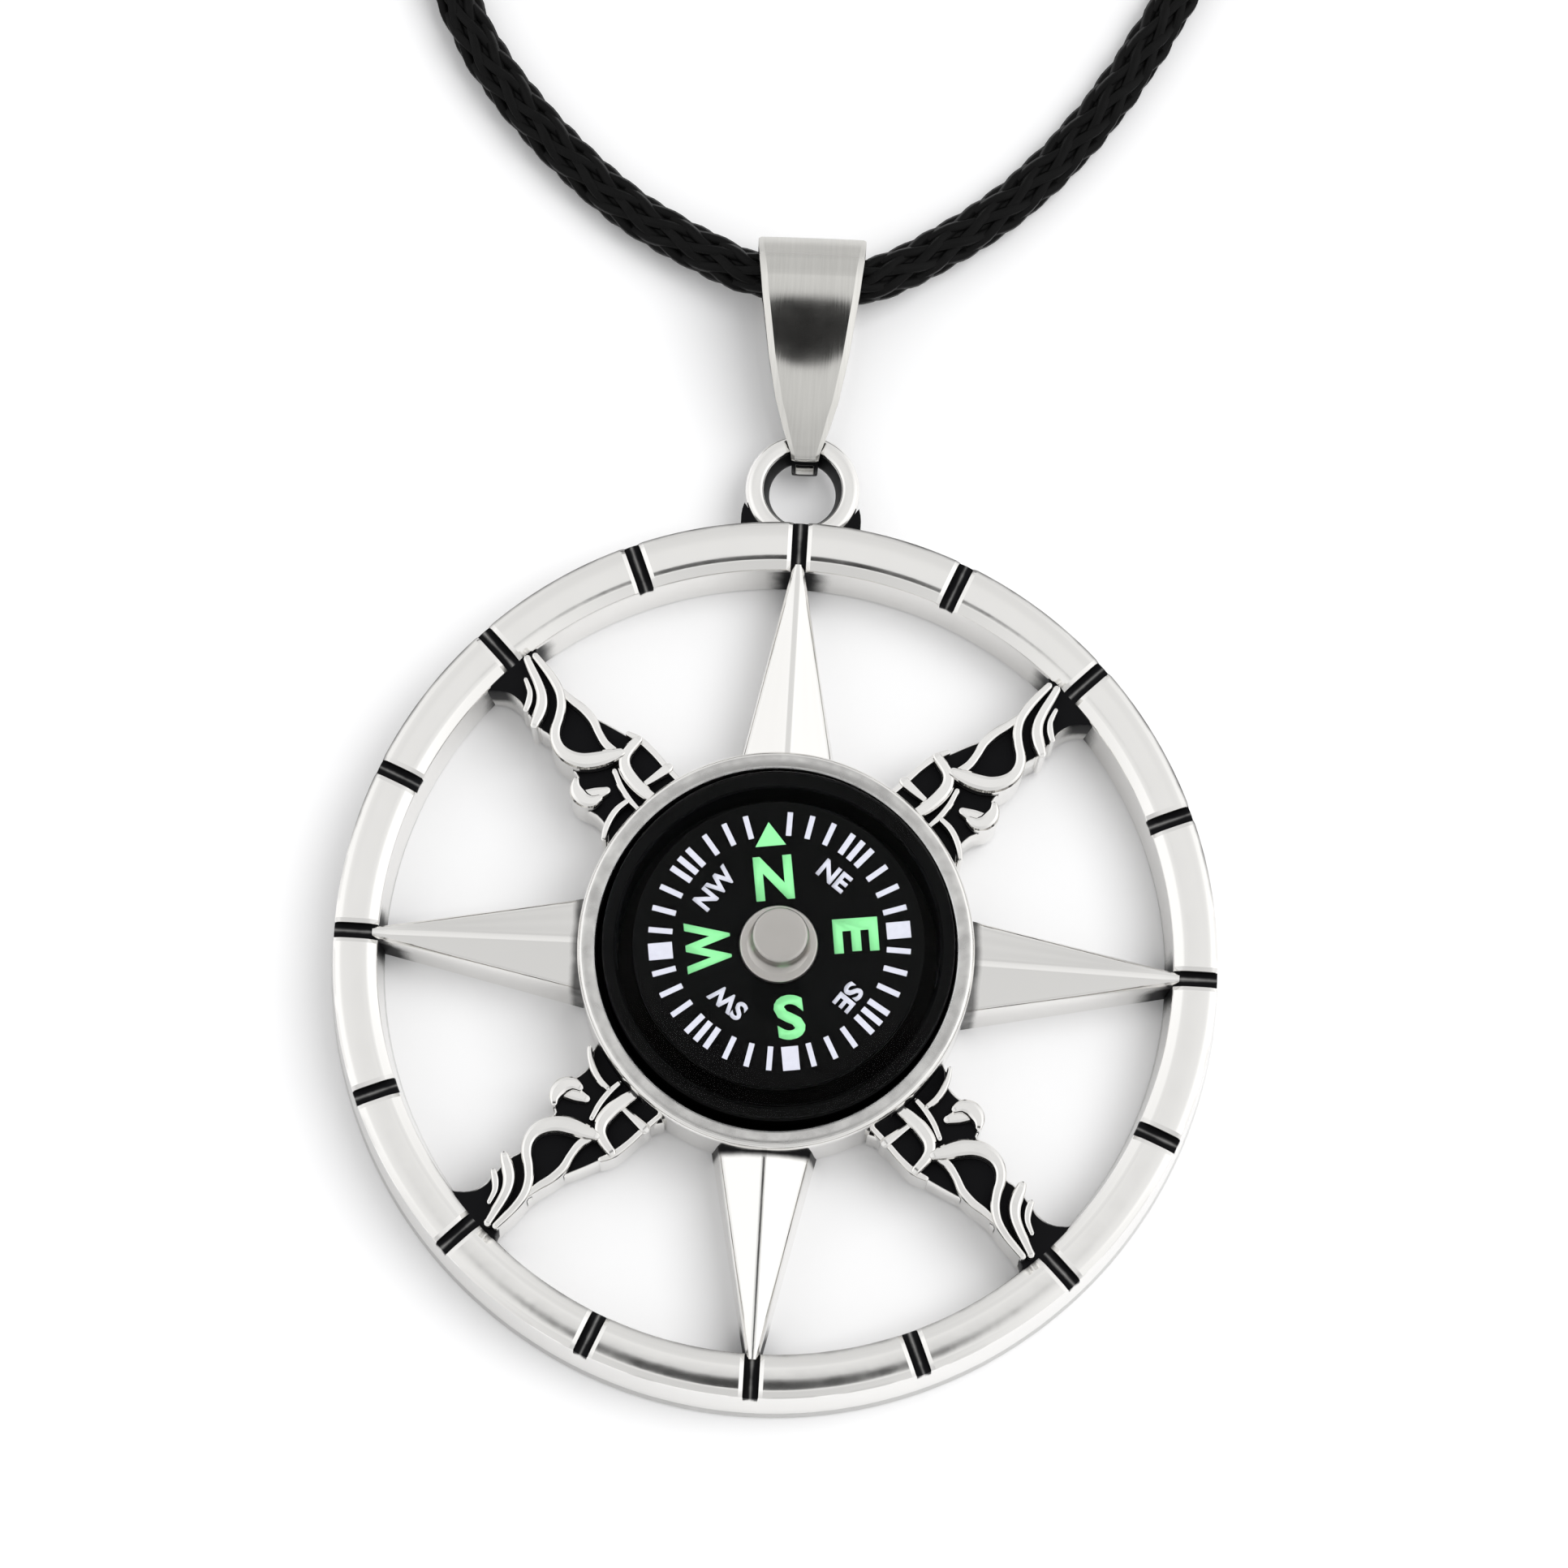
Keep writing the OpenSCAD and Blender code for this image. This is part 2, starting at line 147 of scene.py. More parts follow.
# The scroll spokes: u runs outwards along the spoke and v across it, towards the east or west ray when
# positive. Each strand is the height of its back and the points that it follows, as u, v and its width there.
STRANDS = {
    "sweep": (4.6, [(13.72, -1, 0.5), (13.95, -0.5, 0.8), (14.28, 0.15, 0.96), (14.75, 0.78, 0.96),
        (15.35, 1.16, 0.86), (16, 1.28, 0.72), (16.6, 1.1, 0.62), (17.05, 0.7, 0.58), (17.4, 0.15, 0.56),
        (17.87, -0.4, 0.52), (18.55, -0.83, 0.5), (19.5, -1.04, 0.44), (20.8, -1.12, 0.34)]),
    "leaf": (4.35, [(14, -0.82, 0.5), (14.7, -0.76, 0.46), (15.4, -0.9, 0.44), (16.1, -1.12, 0.5),
        (16.9, -1.14, 0.5), (17.7, -1, 0.44), (18.4, -0.95, 0.3)]),
    "rim_strand": (4.5, [(18, 1.38, 0.5), (18.12, 1.15, 0.6), (18.28, 0.8, 0.68), (18.56, 0.36, 0.66),
        (19.02, -0.02, 0.58), (19.65, -0.29, 0.52), (20.35, -0.5, 0.48), (21, -0.7, 0.4)]),
    "bead": (4.3, [(18.98, 1.15, 0.36), (19.2, 0.76, 0.4), (19.58, 0.36, 0.32), (20.2, 0.1, 0.24)]),
    "hub_strand": (4.5, [(10.8, -0.66, 0.6), (11.4, -0.56, 0.72), (12.2, -0.54, 0.78), (12.9, -0.66, 0.76),
        (13.36, -1, 0.68), (13.56, -1.5, 0.6), (13.64, -2.2, 0.5)]),
    "thin_strand": (4.3, [(10.9, 0.3, 0.26), (11.6, 0.29, 0.34), (12.4, 0.15, 0.34), (13.2, -0.14, 0.3)]),
    "lip_strand": (4.35, [(10.82, 2.75, 0.26), (11.14, 2.3, 0.34), (11.42, 1.7, 0.38), (11.55, 1.1, 0.36),
        (11.52, 0.5, 0.3)]),
    "scroll": (4.5, [(12.62, 1.5, 0.4), (12.76, 1.9, 0.7), (13.15, 2.15, 0.85), (13.6, 2.15, 0.85),
        (13.95, 2, 0.6), (14.15, 1.8, 0.4)]),
    "scroll_pad": (4.1, [(12.75, 0.9, 0.5), (12.98, 1.4, 0.8), (13.3, 1.9, 0.7)]),
    "tooth": (4.2, [(11.62, -0.9, 0.3), (11.56, -1.4, 0.42), (11.5, -2, 0.54), (11.46, -2.4, 0.6)]),
    "border": (4.1, [(10.4, -2.42, 0.3), (11.6, -2.4, 0.34), (12.6, -2.42, 0.36), (13.6, -2.34, 0.4),
        (14.3, -2.1, 0.3)]),
}
# The outline of the sunk ground, once round
GROUND = [(10.2, 2.8), (10.7, 2.65), (11.1, 2.3), (11.5, 2.15), (12.1, 2.15), (12.5, 2.25), (13.1, 2.45),
          (13.8, 2.45), (14.2, 2.05), (14.4, 1.5), (15.2, 1.4), (16.4, 1.3), (17.1, 1.12), (17.6, 1.25),
          (18.2, 1.25), (19, 1.2), (19.6, 1.1), (20.3, 1.2), (20.8, 1.5), (21.1, 1.8), (21.6, 2),
          (21.6, -1.6), (21.1, -1.4), (20.5, -1.2), (19.2, -1.14), (18, -1.12), (16.8, -1.22), (15.7, -1.65),
          (14.6, -2.02), (13.6, -2.32), (12.5, -2.42), (11.3, -2.4), (10.2, -2.45)]
GROUND_H = 3.5
STRAND_REACH = 0.12
GROUND_REACH = 0.4

# Half width of the bail, at distances from the hub axis
BAIL_OUTLINE = [(27, 0.7), (27.9, 0.78), (29.2, 1.28), (30.7, 1.73), (33.1, 2.2), (36.6, 2.68), (38.5, 2.88),
                (41, 3.02)]

# The cord's route, from the clasp's one end round to its other
CORD_ROUTE = [
    (8, 114, 2.3), (8, 116, 2.3), (8, 118, 2.3), (8, 124, 1.4), (8, 134, 1.3), (8, 146, 1.3),
    (10.5, 152, 1.3), (15.5, 154, 1.3), (20.5, 152, 1.3), (23, 146, 1.3),
    (23, 130, 1.3), (23, 114, 1.3), (23, 98, 1.3), (23, 80, 1.3),
    (22.5, 65, 1.3), (19.5, 56.8, 1.3), (15.5, 49.6, 1.3), (11, 44.2, 1.3), (6.5, 40.6, 1.8), (3, 38.5, 2.5),
    (0, 38.35, 2.45),
    (-3, 38.5, 2.5), (-5.5, 39.5, 1.9), (-11, 42.6, 1.3), (-16.5, 47.5, 1.3), (-20.5, 53, 1.3),
    (-22.6, 60, 1.3), (-23, 74, 1.3),
    (-23, 92, 1.3), (-23, 110, 1.3), (-23, 128, 1.3), (-23, 146, 1.3),
    (-20.5, 152, 1.3), (-15.5, 154, 1.3), (-10.5, 152, 1.3), (-8, 146, 1.3),
    (-8, 130, 1.3), (-8, 112, 1.3), (-8, 94, 1.3), (-8, 76, 1.3),
    (-5.5, 70, 1.3), (0, 68, 1.3), (5.5, 70, 1.3), (8, 76, 1.3),
    (8, 88, 1.6), (8, 96, 2.3), (8, 98, 2.3), (8, 100, 2.3)]

# Colours of the metals, clean and black, the black standing for tarnish and for painted shade, and of the
# black plastics between two shades
CAST_SILVER = (0.87, 0.86, 0.84)
STRAP_SILVER = (0.7, 0.69, 0.66)
BLACK_TARNISH_AND_SHADE = (0.012, 0.012, 0.013, 1)
TARNISH_AND_SHADE_ROUGH = 0.5
JET = ((0.0006, 0.0006, 0.0006), (0.0018, 0.0018, 0.0018))

# Brightness of the studio by its distance from the dark spot overhead, in the length of the chord: towards
# the front and the back, and towards the two sides
FRONT_BACK = [(0, 0.02), (0.118, 0.02), (0.146, 0.86), (0.29, 0.87), (0.36, 0.78), (0.6, 0.73), (1.0, 0.74),
              (1.15, 0.64), (1.25, 0.72), (1.5, 0.85)]
SIDES = [(0, 0.02), (0.118, 0.02), (0.146, 0.86), (0.34, 0.9), (0.54, 1.05), (0.8, 1.15), (1.3, 1.18),
         (1.5, 1.0)]
STUDIO_REACH = 1.5
SPOT_AT = (0, -0.02, 1)
# How much narrower the dark spot is from side to side
SPOT_NARROW = 1.35


# Small tools for shapes


def smooth_route(points, reach):
    """Points of a smooth curve through the given ones, in stretches no longer than reach."""
    pts = [Vector(p) for p in points]
    out = []
    for i in range(len(pts) - 1):
        a = pts[max(i - 1, 0)]
        b = pts[i]
        c = pts[i + 1]
        d = pts[min(i + 2, len(pts) - 1)]
        steps = max(1, math.ceil((c - b).length / reach))
        for k in range(steps):
            t = k / steps
            out.append(0.5 * (2 * b + (c - a) * t + (2 * a - 5 * b + 4 * c - d) * t * t
                              + (3 * b - a - 3 * c + d) * t * t * t))
    out.append(pts[-1])
    return out


def table_value(table, x):
    """The value at x in a table of (x, value) rows."""
    for (x0, v0), (x1, v1) in zip(table, table[1:]):
        if x <= x1:
            return v0 + (v1 - v0) * max(0.0, (x - x0) / (x1 - x0))
    return table[-1][1]


def fade(x, full, gone):
    """One up to full, nothing from gone up, and evenly less between them."""
    return min(1.0, max(0.0, (gone - x) / (gone - full)))


def turned(x, y, angle):
    """A point turned anticlockwise about the origin, by degrees."""
    a = math.radians(angle)
    return x * math.cos(a) - y * math.sin(a), x * math.sin(a) + y * math.cos(a)


def arc_points(cx, cy, r, start, end, steps):
    angles = [math.radians(start + (end - start) * k / steps) for k in range(steps + 1)]
    return [(cx + r * math.cos(a), cy + r * math.sin(a)) for a in angles]


def grid_faces(rings, size, closed=False):
    """Faces between rings of size points. A closed grid also joins the last ring to the first."""
    faces = []
    for i in range(rings if closed else rings - 1):
        low = i * size
        high = (i + 1) % rings * size
        for j in range(size):
            k = (j + 1) % size
            faces.append((low + j, low + k, high + k, high + j))
    return faces


def tube_faces(rings, size):
    """Faces of a tube of rings, with a flat cap at each end."""
    first = tuple(range(size))
    last = tuple((rings - 1) * size + k for k in reversed(range(size)))
    return grid_faces(rings, size) + [first, last]


def add_object(name, data):
    thing = bpy.data.objects.new(name, data)
    bpy.context.scene.collection.objects.link(thing)
    return thing


def object_from(bm, name):
    """An object with the shape that a bmesh holds."""
    mesh = bpy.data.meshes.new(name)
    bm.to_mesh(mesh)
    bm.free()
    return add_object(name, mesh)


def make_object(name, verts, faces, sharp, tarnish_and_shade=None):
    """A mesh object from points in millimetres, with closed seams, outward faces and smooth shading."""
    mesh = bpy.data.meshes.new(name)
    mesh.from_pydata([Vector(v) * MM for v in verts], [], faces)
    attribute = mesh.attributes.new("tarnish_and_shade", "FLOAT", "POINT")
    if tarnish_and_shade is not None:
        attribute.data.foreach_set("value", tarnish_and_shade)
    tidy_mesh(mesh, sharp)
    return add_object(name, mesh)


def tidy_mesh(mesh, sharp):
    """Merges points that meet, turns the faces outwards and keeps edges sharp above an angle."""
    merge = 0.002 * MM
    shortest = 0.0005 * MM
    bm = bmesh.new()
    bm.from_mesh(mesh)
    bmesh.ops.remove_doubles(bm, verts=bm.verts, dist=merge)
    bmesh.ops.dissolve_degenerate(bm, edges=bm.edges, dist=shortest)
    bmesh.ops.recalc_face_normals(bm, faces=bm.faces)
    bm.to_mesh(mesh)
    bm.free()
    mesh.shade_smooth()
    if sharp:
        mesh.set_sharp_from_angle(angle=math.radians(sharp))


def join_shapes(name, shapes):
    """One object from several, each still a closed shell with its own sharp edges."""
    bm = bmesh.new()
    for shape in shapes:
        bm.from_mesh(shape.data)
        bpy.data.objects.remove(shape)
    return object_from(bm, name)


def lathe(name, profile, steps=160, centre=(0, 0), sharp=30, tarnish_and_shade=None):
    """A closed outline of (radius, height) turned about a line along Z."""
    verts = []
    for i in range(steps):
        a = 2 * math.pi * i / steps
        verts += [(centre[0] + r * math.cos(a), centre[1] + r * math.sin(a), z) for r, z in profile]
    values = None if tarnish_and_shade is None else tarnish_and_shade * steps
    return make_object(name, verts, grid_faces(steps, len(profile), True), sharp, values)


# Tools for node trees


def feed(tree, node, inputs):
    """Feeds each named input from a socket or from a node's first output, or sets it to a value."""
    for key, value in inputs.items():
        source = value.outputs[0] if isinstance(value, bpy.types.Node) else value
        if isinstance(source, bpy.types.NodeSocket):
            tree.links.new(source, node.inputs[key])
        else:
            node.inputs[key].default_value = value


def add_node(tree, kind, inputs=None, **settings):
    node = tree.nodes.new(kind)
    for key, value in settings.items():
        setattr(node, key, value)
    feed(tree, node, inputs or {})
    return node


def math_node(tree, operation, *terms):
    return add_node(tree, "ShaderNodeMath", dict(enumerate(terms)), operation=operation)


def vector_node(tree, operation, a, b):
    second = "Scale" if operation == "SCALE" else 1
    node = add_node(tree, "ShaderNodeVectorMath", {0: a, second: b}, operation=operation)
    return node.outputs["Value" if operation == "DISTANCE" else "Vector"]


def map_range(tree, value, start, end, low, high, **settings):
    """A value mapped from between start and end to between low and high."""
    return add_node(tree, "ShaderNodeMapRange", {
        "Value": value, "From Min": start, "From Max": end, "To Min": low, "To Max": high}, **settings)


def mix_colours(tree, factor, a, b, blend="MIX"):
    mix = add_node(tree, "ShaderNodeMix", {"Factor": factor, "A": a, "B": b}, data_type="RGBA",
                   blend_type=blend)
    return mix.outputs["Result"]


def surface_noise(tree, scale, detail, stretch=None):
    """Noise that lies on a piece by its own object coordinates, stretched where that is given."""
    place = add_node(tree, "ShaderNodeTexCoord").outputs["Object"]
    if stretch:
        place = add_node(tree, "ShaderNodeMapping", {"Vector": place, "Scale": stretch})
    return add_node(tree, "ShaderNodeTexNoise", {"Vector": place, "Scale": scale, "Detail": detail})


def new_tree(kind, name, inputs, outputs):
    """A node tree with named inputs and outputs, what its inputs give, and its end."""
    tree = bpy.data.node_groups.new(name, kind)
    for way, sockets in (("INPUT", inputs), ("OUTPUT", outputs)):
        for label, socket_kind, *value in sockets:
            socket = tree.interface.new_socket(label, in_out=way, socket_type="NodeSocket" + socket_kind)
            if value:
                socket.default_value = value[0]
    return tree, tree.nodes.new("NodeGroupInput").outputs, tree.nodes.new("NodeGroupOutput")


def new_material(name, **principled):
    material = bpy.data.materials.new(name)
    material.use_nodes = True
    shader = material.node_tree.nodes["Principled BSDF"]
    for key, value in principled.items():
        shader.inputs[key.replace("_", " ")].default_value = value
    return material, material.node_tree, shader


# Camera


def place_camera():
    data = bpy.data.cameras.new("camera")
    data.lens = CAMERA_LENS
    data.sensor_fit = "HORIZONTAL"
    data.sensor_width = SENSOR
    data.clip_start = 0.005
    data.clip_end = 20
    camera = add_object("camera", data)
    at = Vector(CAMERA_AT)
    back = (at - Vector(CAMERA_LOOKS_AT)).normalized()
    right = Vector((0, 1, 0)).cross(back).normalized()
    up = back.cross(right)
    roll = math.radians(CAMERA_ROLL)
    image_right = math.cos(roll) * right + math.sin(roll) * up
    image_up = -math.sin(roll) * right + math.cos(roll) * up
    turn = Matrix((image_right, image_up, back)).transposed()
    camera.matrix_world = Matrix.Translation(at * MM) @ turn.to_4x4()
    bpy.context.scene.camera = camera


# Geometry trees


def cord_core_curve():
    points = smooth_route(CORD_ROUTE, 1.5)
    curve = bpy.data.curves.new("cord_line", "CURVE")
    curve.dimensions = "3D"
    curve.twist_mode = "Z_UP"
    spline = curve.splines.new("POLY")
    spline.points.add(len(points) - 1)
    for point, place in zip(spline.points, points):
        point.co = (*(place * MM), 1)
    return add_object("cord_line", curve), points


def run_tree(thing, tree, name, values):
    """Runs a geometry tree on an object with the named inputs and gives the result as a plain mesh."""
    modifier = thing.modifiers.new("tree", "NODES")
    modifier.node_group = tree
    sockets = {s.name: s.identifier for s in tree.interface.items_tree if s.in_out == "INPUT"}
    for label, value in values.items():
        modifier[sockets[label]] = value
    thing.update_tag()
    evaluated = thing.evaluated_get(bpy.context.evaluated_depsgraph_get())
    mesh = bpy.data.meshes.new_from_object(evaluated)
    mesh.name = name
    thing.modifiers.remove(modifier)
    bpy.data.objects.remove(thing)
    return add_object(name, mesh)


def end_with_finish(tree, shape, given, out):
    """Sets the finish as the last step of a geometry tree."""
    finish = add_node(tree, "GeometryNodeSetMaterial", {"Geometry": shape, "Material": given["Finish"]})
    feed(tree, out, {"Geometry": finish})
    return tree


def braid_tree():
    """Strands that wind round a curve in both directions and pass over and under each other."""
    tree, given, out = new_tree("GeometryNodeTree", "braid_along_a_line", [
        ("Geometry", "Geometry"), ("Strands each way", "Int", 6), ("Pitch", "Float", 0.011),
        ("Middle radius", "Float", 0.0009), ("Rise", "Float", 0.0001), ("Strand radius", "Float", 0.0003),
        ("Step", "Float", 0.0004), ("Finish", "Material")], [("Geometry", "Geometry")])
    strands = given["Strands each way"]

    def calc(operation, *terms):
        return math_node(tree, operation, *terms)

    resample = add_node(tree, "GeometryNodeResampleCurve",
                        {"Curve": given["Geometry"], "Length": given["Step"]}, mode="LENGTH")
    copies = add_node(tree, "GeometryNodeDuplicateElements",
                      {"Geometry": resample, "Amount": calc("MULTIPLY", strands, 2)}, domain="SPLINE")
    index = copies.outputs["Duplicate Index"]
    sign = calc("SUBTRACT", calc("MULTIPLY", calc("MODULO", index, 2), 2), 1)
    number = calc("FLOOR", calc("DIVIDE", index, 2))
    along = add_node(tree, "GeometryNodeSplineParameter").outputs["Length"]
    turns = calc("DIVIDE", along, given["Pitch"])
    share = calc("DIVIDE", number, strands)
    angle = calc("MULTIPLY", calc("ADD", calc("MULTIPLY", turns, sign), share), 2 * math.pi)
    beat = calc("MULTIPLY", calc("MULTIPLY", turns, strands), 2 * math.pi)
    lift = calc("MULTIPLY", calc("MULTIPLY", calc("COSINE", beat), sign), given["Rise"])
    radius = calc("ADD", given["Middle radius"], lift)
    normal = add_node(tree, "GeometryNodeInputNormal")
    tangent = add_node(tree, "GeometryNodeInputTangent")
    side = vector_node(tree, "CROSS_PRODUCT", tangent, normal)
    up_part = vector_node(tree, "SCALE", normal, calc("MULTIPLY", radius, calc("COSINE", angle)))
    side_part = vector_node(tree, "SCALE", side, calc("MULTIPLY", radius, calc("SINE", angle)))
    place = add_node(tree, "GeometryNodeSetPosition", {
        "Geometry": copies, "Offset": vector_node(tree, "ADD", up_part, side_part)})
    circle = add_node(tree, "GeometryNodeCurvePrimitiveCircle",
                      {"Resolution": 5, "Radius": given["Strand radius"]})
    sweep = add_node(tree, "GeometryNodeCurveToMesh",
                     {"Curve": place, "Profile Curve": circle, "Fill Caps": True})
    realize = add_node(tree, "GeometryNodeRealizeInstances", {"Geometry": sweep})
    return end_with_finish(tree, realize, given, out)


def ring_array_tree():
    """Copies of a shape at even steps round the Z axis, merged where they meet."""
    tree, given, out = new_tree("GeometryNodeTree", "copies_round_the_axis", [
        ("Geometry", "Geometry"), ("Copies", "Int", 16), ("First angle", "Float", 0.0),
        ("Step angle", "Float", 0.0), ("Merge distance", "Float", 0.000001), ("Finish", "Material")],
        [("Geometry", "Geometry")])
    points = add_node(tree, "GeometryNodePoints", {"Count": given["Copies"]})
    steps = math_node(tree, "MULTIPLY", add_node(tree, "GeometryNodeInputIndex"), given["Step angle"])
    turn = add_node(tree, "ShaderNodeCombineXYZ", {"Z": math_node(tree, "ADD", steps, given["First angle"])})
    rotation = add_node(tree, "FunctionNodeEulerToRotation", {0: turn})
    copies = add_node(tree, "GeometryNodeInstanceOnPoints",
                      {"Points": points, "Instance": given["Geometry"], "Rotation": rotation})
    realize = add_node(tree, "GeometryNodeRealizeInstances", {"Geometry": copies})
    merge = add_node(tree, "GeometryNodeMergeByDistance",
                     {"Geometry": realize, "Distance": given["Merge distance"]})
    return end_with_finish(tree, merge, given, out)


def copies_round_axis(shape, name, count, first, material):
    return run_tree(shape, RING_ARRAY, name, {
        "Copies": count, "First angle": math.radians(first), "Step angle": 2 * math.pi / count,
        "Finish": material})


# Metal, plastic and cord finishes


def tarnish_and_shade_group():
    """A mask of black: tarnish in the painted-in recesses and painted shade in corners, broken up by noise
    along their edges.
    """
    tree, given, out = new_tree("ShaderNodeTree", "tarnish_and_shade_mask", [
        ("Scale", "Float", 900.0), ("Break up", "Float", 0.25)], [("Mask", "Float"), ("Smudge", "Float")])
    # The point attribute holds black tarnish and painted shade together.
    recess = add_node(tree, "ShaderNodeAttribute", attribute_name="tarnish_and_shade")
    noise = surface_noise(tree, given["Scale"], 4.0)
    shift = math_node(tree, "MULTIPLY", math_node(tree, "SUBTRACT", noise, 0.5), given["Break up"])
    mask = map_range(tree, math_node(tree, "ADD", recess.outputs["Fac"], shift), 0.25, 0.8, 0, 1,
                     interpolation_type="SMOOTHSTEP")
    feed(tree, out, {"Mask": mask, "Smudge": noise})
    return tree


def tarnished_and_shaded(tree, silver, rough_low, rough_high):
    """A metal's colour and roughness: bright where it is clean, black where it is tarnished and where shade
    is painted.
    """
    tarnish_and_shade = add_node(tree, "ShaderNodeGroup", {"Scale": 700.0, "Break up": 0.3}, node_tree=TARNISH_AND_SHADE)
    mask = tarnish_and_shade.outputs["Mask"]
    colour = mix_colours(tree, mask, (*silver, 1), BLACK_TARNISH_AND_SHADE)
    polish = map_range(tree, tarnish_and_shade.outputs["Smudge"], 0, 1, rough_low, rough_high)
    rough = add_node(tree, "ShaderNodeMix", {"Factor": mask, "A": polish, "B": TARNISH_AND_SHADE_ROUGH})
    return colour, rough.outputs["Result"]


def dress(tree, shader, colour, rough, height, strength, distance=0.00001):
    """Feeds a shader its colour, its roughness and its bump."""
    bump = add_node(tree, "ShaderNodeBump", {"Height": height, "Strength": strength, "Distance": distance})
    feed(tree, shader, {"Base Color": colour, "Roughness": rough, "Normal": bump})


def cast_steel():
    """Polished casting, black with tarnish in its recesses and with painted shade in its corners and
    crevices, with a faint unevenness.
    """
    material, tree, shader = new_material("cast_steel", Metallic=1.0)
    colour, rough = tarnished_and_shaded(tree, CAST_SILVER, rough_low=0.08, rough_high=0.18)
    dress(tree, shader, colour, rough, surface_noise(tree, 420.0, 3.0), strength=0.12, distance=0.00006)
    return material


def strap_steel():
    """Polished strip with fine lines that run along it, worn to satin round the top of the bail."""
    material, tree, shader = new_material("strap_steel", Metallic=1.0)
    lines = surface_noise(tree, 1.0, 3.0, (7000, 300, 300))
    place = add_node(tree, "ShaderNodeTexCoord").outputs["Object"]
    split = add_node(tree, "ShaderNodeSeparateXYZ", {0: place})
    satin = map_range(tree, split.outputs["Y"], SATIN_FROM * MM, SATIN_FULL * MM, 0, SATIN_ROUGH)
    # Its black falls only where shade is painted on the bail's fold.
    colour, polish = tarnished_and_shaded(tree, STRAP_SILVER, rough_low=0.06, rough_high=0.12)
    streaked = mix_colours(tree, 0.16, colour, lines, "MULTIPLY")
    dress(tree, shader, streaked, math_node(tree, "MAXIMUM", polish, satin), lines, strength=0.1)
    return material


def speckled(name, low, high, scale, rough_low, rough_high, bump=0.1, **principled):
    """A plain finish whose colour and roughness vary slightly over the surface."""
    material, tree, shader = new_material(name, **principled)
    noise = surface_noise(tree, scale, 4.0)
    colour = mix_colours(tree, noise, (*low, 1), (*high, 1))
    dress(tree, shader, colour, map_range(tree, noise, 0, 1, rough_low, rough_high), noise, bump)
    return material


def clear_plastic():
    """Clear moulded plastic that lets light through to the dial."""
    material, tree, shader = new_material("clear_dome", Base_Color=(0.98, 0.99, 1, 1), Roughness=0.02,
                                          IOR=1.07, Transmission_Weight=1.0)
    through = add_node(tree, "ShaderNodeBsdfTransparent")
    in_shadow = add_node(tree, "ShaderNodeLightPath").outputs["Is Shadow Ray"]
    choose = add_node(tree, "ShaderNodeMixShader", {"Fac": in_shadow, 1: shader, 2: through})
    feed(tree, tree.nodes["Material Output"], {"Surface": choose})
    return material


# Tarnish and painted shade


def darken(thing, shade):
    """Raises the tarnish and painted shade of each point to what shade gives for its place in millimetres."""
    values = thing.data.attributes["tarnish_and_shade"].data
    for v in thing.data.vertices:
        tarnish_and_shade = values[v.index]
        tarnish_and_shade.value = max(tarnish_and_shade.value, shade(*(c / MM for c in v.co)))


def darken_corners(thing, low, high, ray_reach, spoke_reach, width, top):
    """Adds painted shade beside the rays and the spokes, between two radii and below a height."""
    top_width = 0.35

    def shade(x, y, z):
        if not low <= math.hypot(x, y) <= high or z > top:
            return 0.0
        from_ray = min(abs(x), abs(y))
        from_spoke = abs(abs(x) - abs(y)) * math.sqrt(0.5)
        near = max(fade(from_ray, ray_reach, ray_reach + width),
                   fade(from_spoke, spoke_reach, spoke_reach + width))
        return near * fade(z, top - top_width, top)

    darken(thing, shade)


# Cord


def braided_cord(material):
    line, points = cord_core_curve()
    braid = run_tree(line, braid_tree(), "braid", {
        "Strands each way": 6, "Pitch": 19.5 * MM, "Middle radius": 0.86 * MM, "Rise": 0.09 * MM,
        "Strand radius": 0.35 * MM, "Step": 0.42 * MM, "Finish": material})
    braid.data.shade_smooth()
    cord = join_shapes("braided_cord", [braid, cord_core(points)])
    return cord, [tuple(p * MM) for p in points]


def cord_core(points):
    """The dark core that fills the braid."""
    sides = 8
    radius = 0.85
    verts = []
    for i, point in enumerate(points):
        d = (points[min(i + 1, len(points) - 1)] - points[max(i - 1, 0)]).normalized()
        side = d.cross(Vector((0, 0, 1))).normalized()
        up = side.cross(d)
        for k in range(sides):
            a = 2 * math.pi * k / sides
            verts.append(point + (side * math.sin(a) - up * math.cos(a)) * radius)
    return make_object("cord_core", verts, tube_faces(len(points), sides), 0)


# Casting


def rim_section(top):
    """The rim's outline as (radius, height). A top under RIM_H lowers its face and cuts it off there."""
    face = [(RIM_IN, 0.0)]
    for (at, slope), (until, _) in zip(RIM_FACE, RIM_FACE[1:]):
        face.append((RIM_IN + until, face[-1][1] + (until - at) * math.tan(math.radians(slope))))
    lift = RIM_H - max(z for _, z in face)
    inner = RIM_IN - RIM_DRAFT_IN
    outer = RIM_R + RIM_DRAFT_OUT
    section = [(RIM_IN - RIM_DRAFT_IN * 0.6, 1.5), (inner, 0.35)]
    section += arc_points(inner + RIM_ROUND, RIM_ROUND, RIM_ROUND, 180, 270, 4)[1:]
    section += arc_points(outer - RIM_ROUND, RIM_ROUND, RIM_ROUND, 270, 360, 4)
    section += [(outer - RIM_DRAFT_OUT * 0.4, 1.5), (outer - RIM_DRAFT_OUT * 0.75, 2.7)]
    section += [(r, z + lift) for r, z in reversed(face)]
    section += [(RIM_IN - 0.02, 3.2), (RIM_IN - 0.06, 2.6)]
    lowered = min(max(RIM_H - top, 0.0), CHAMFER_H)
    return [(r, min(z - lowered * (z > FACE_LOW), top)) for r, z in section]


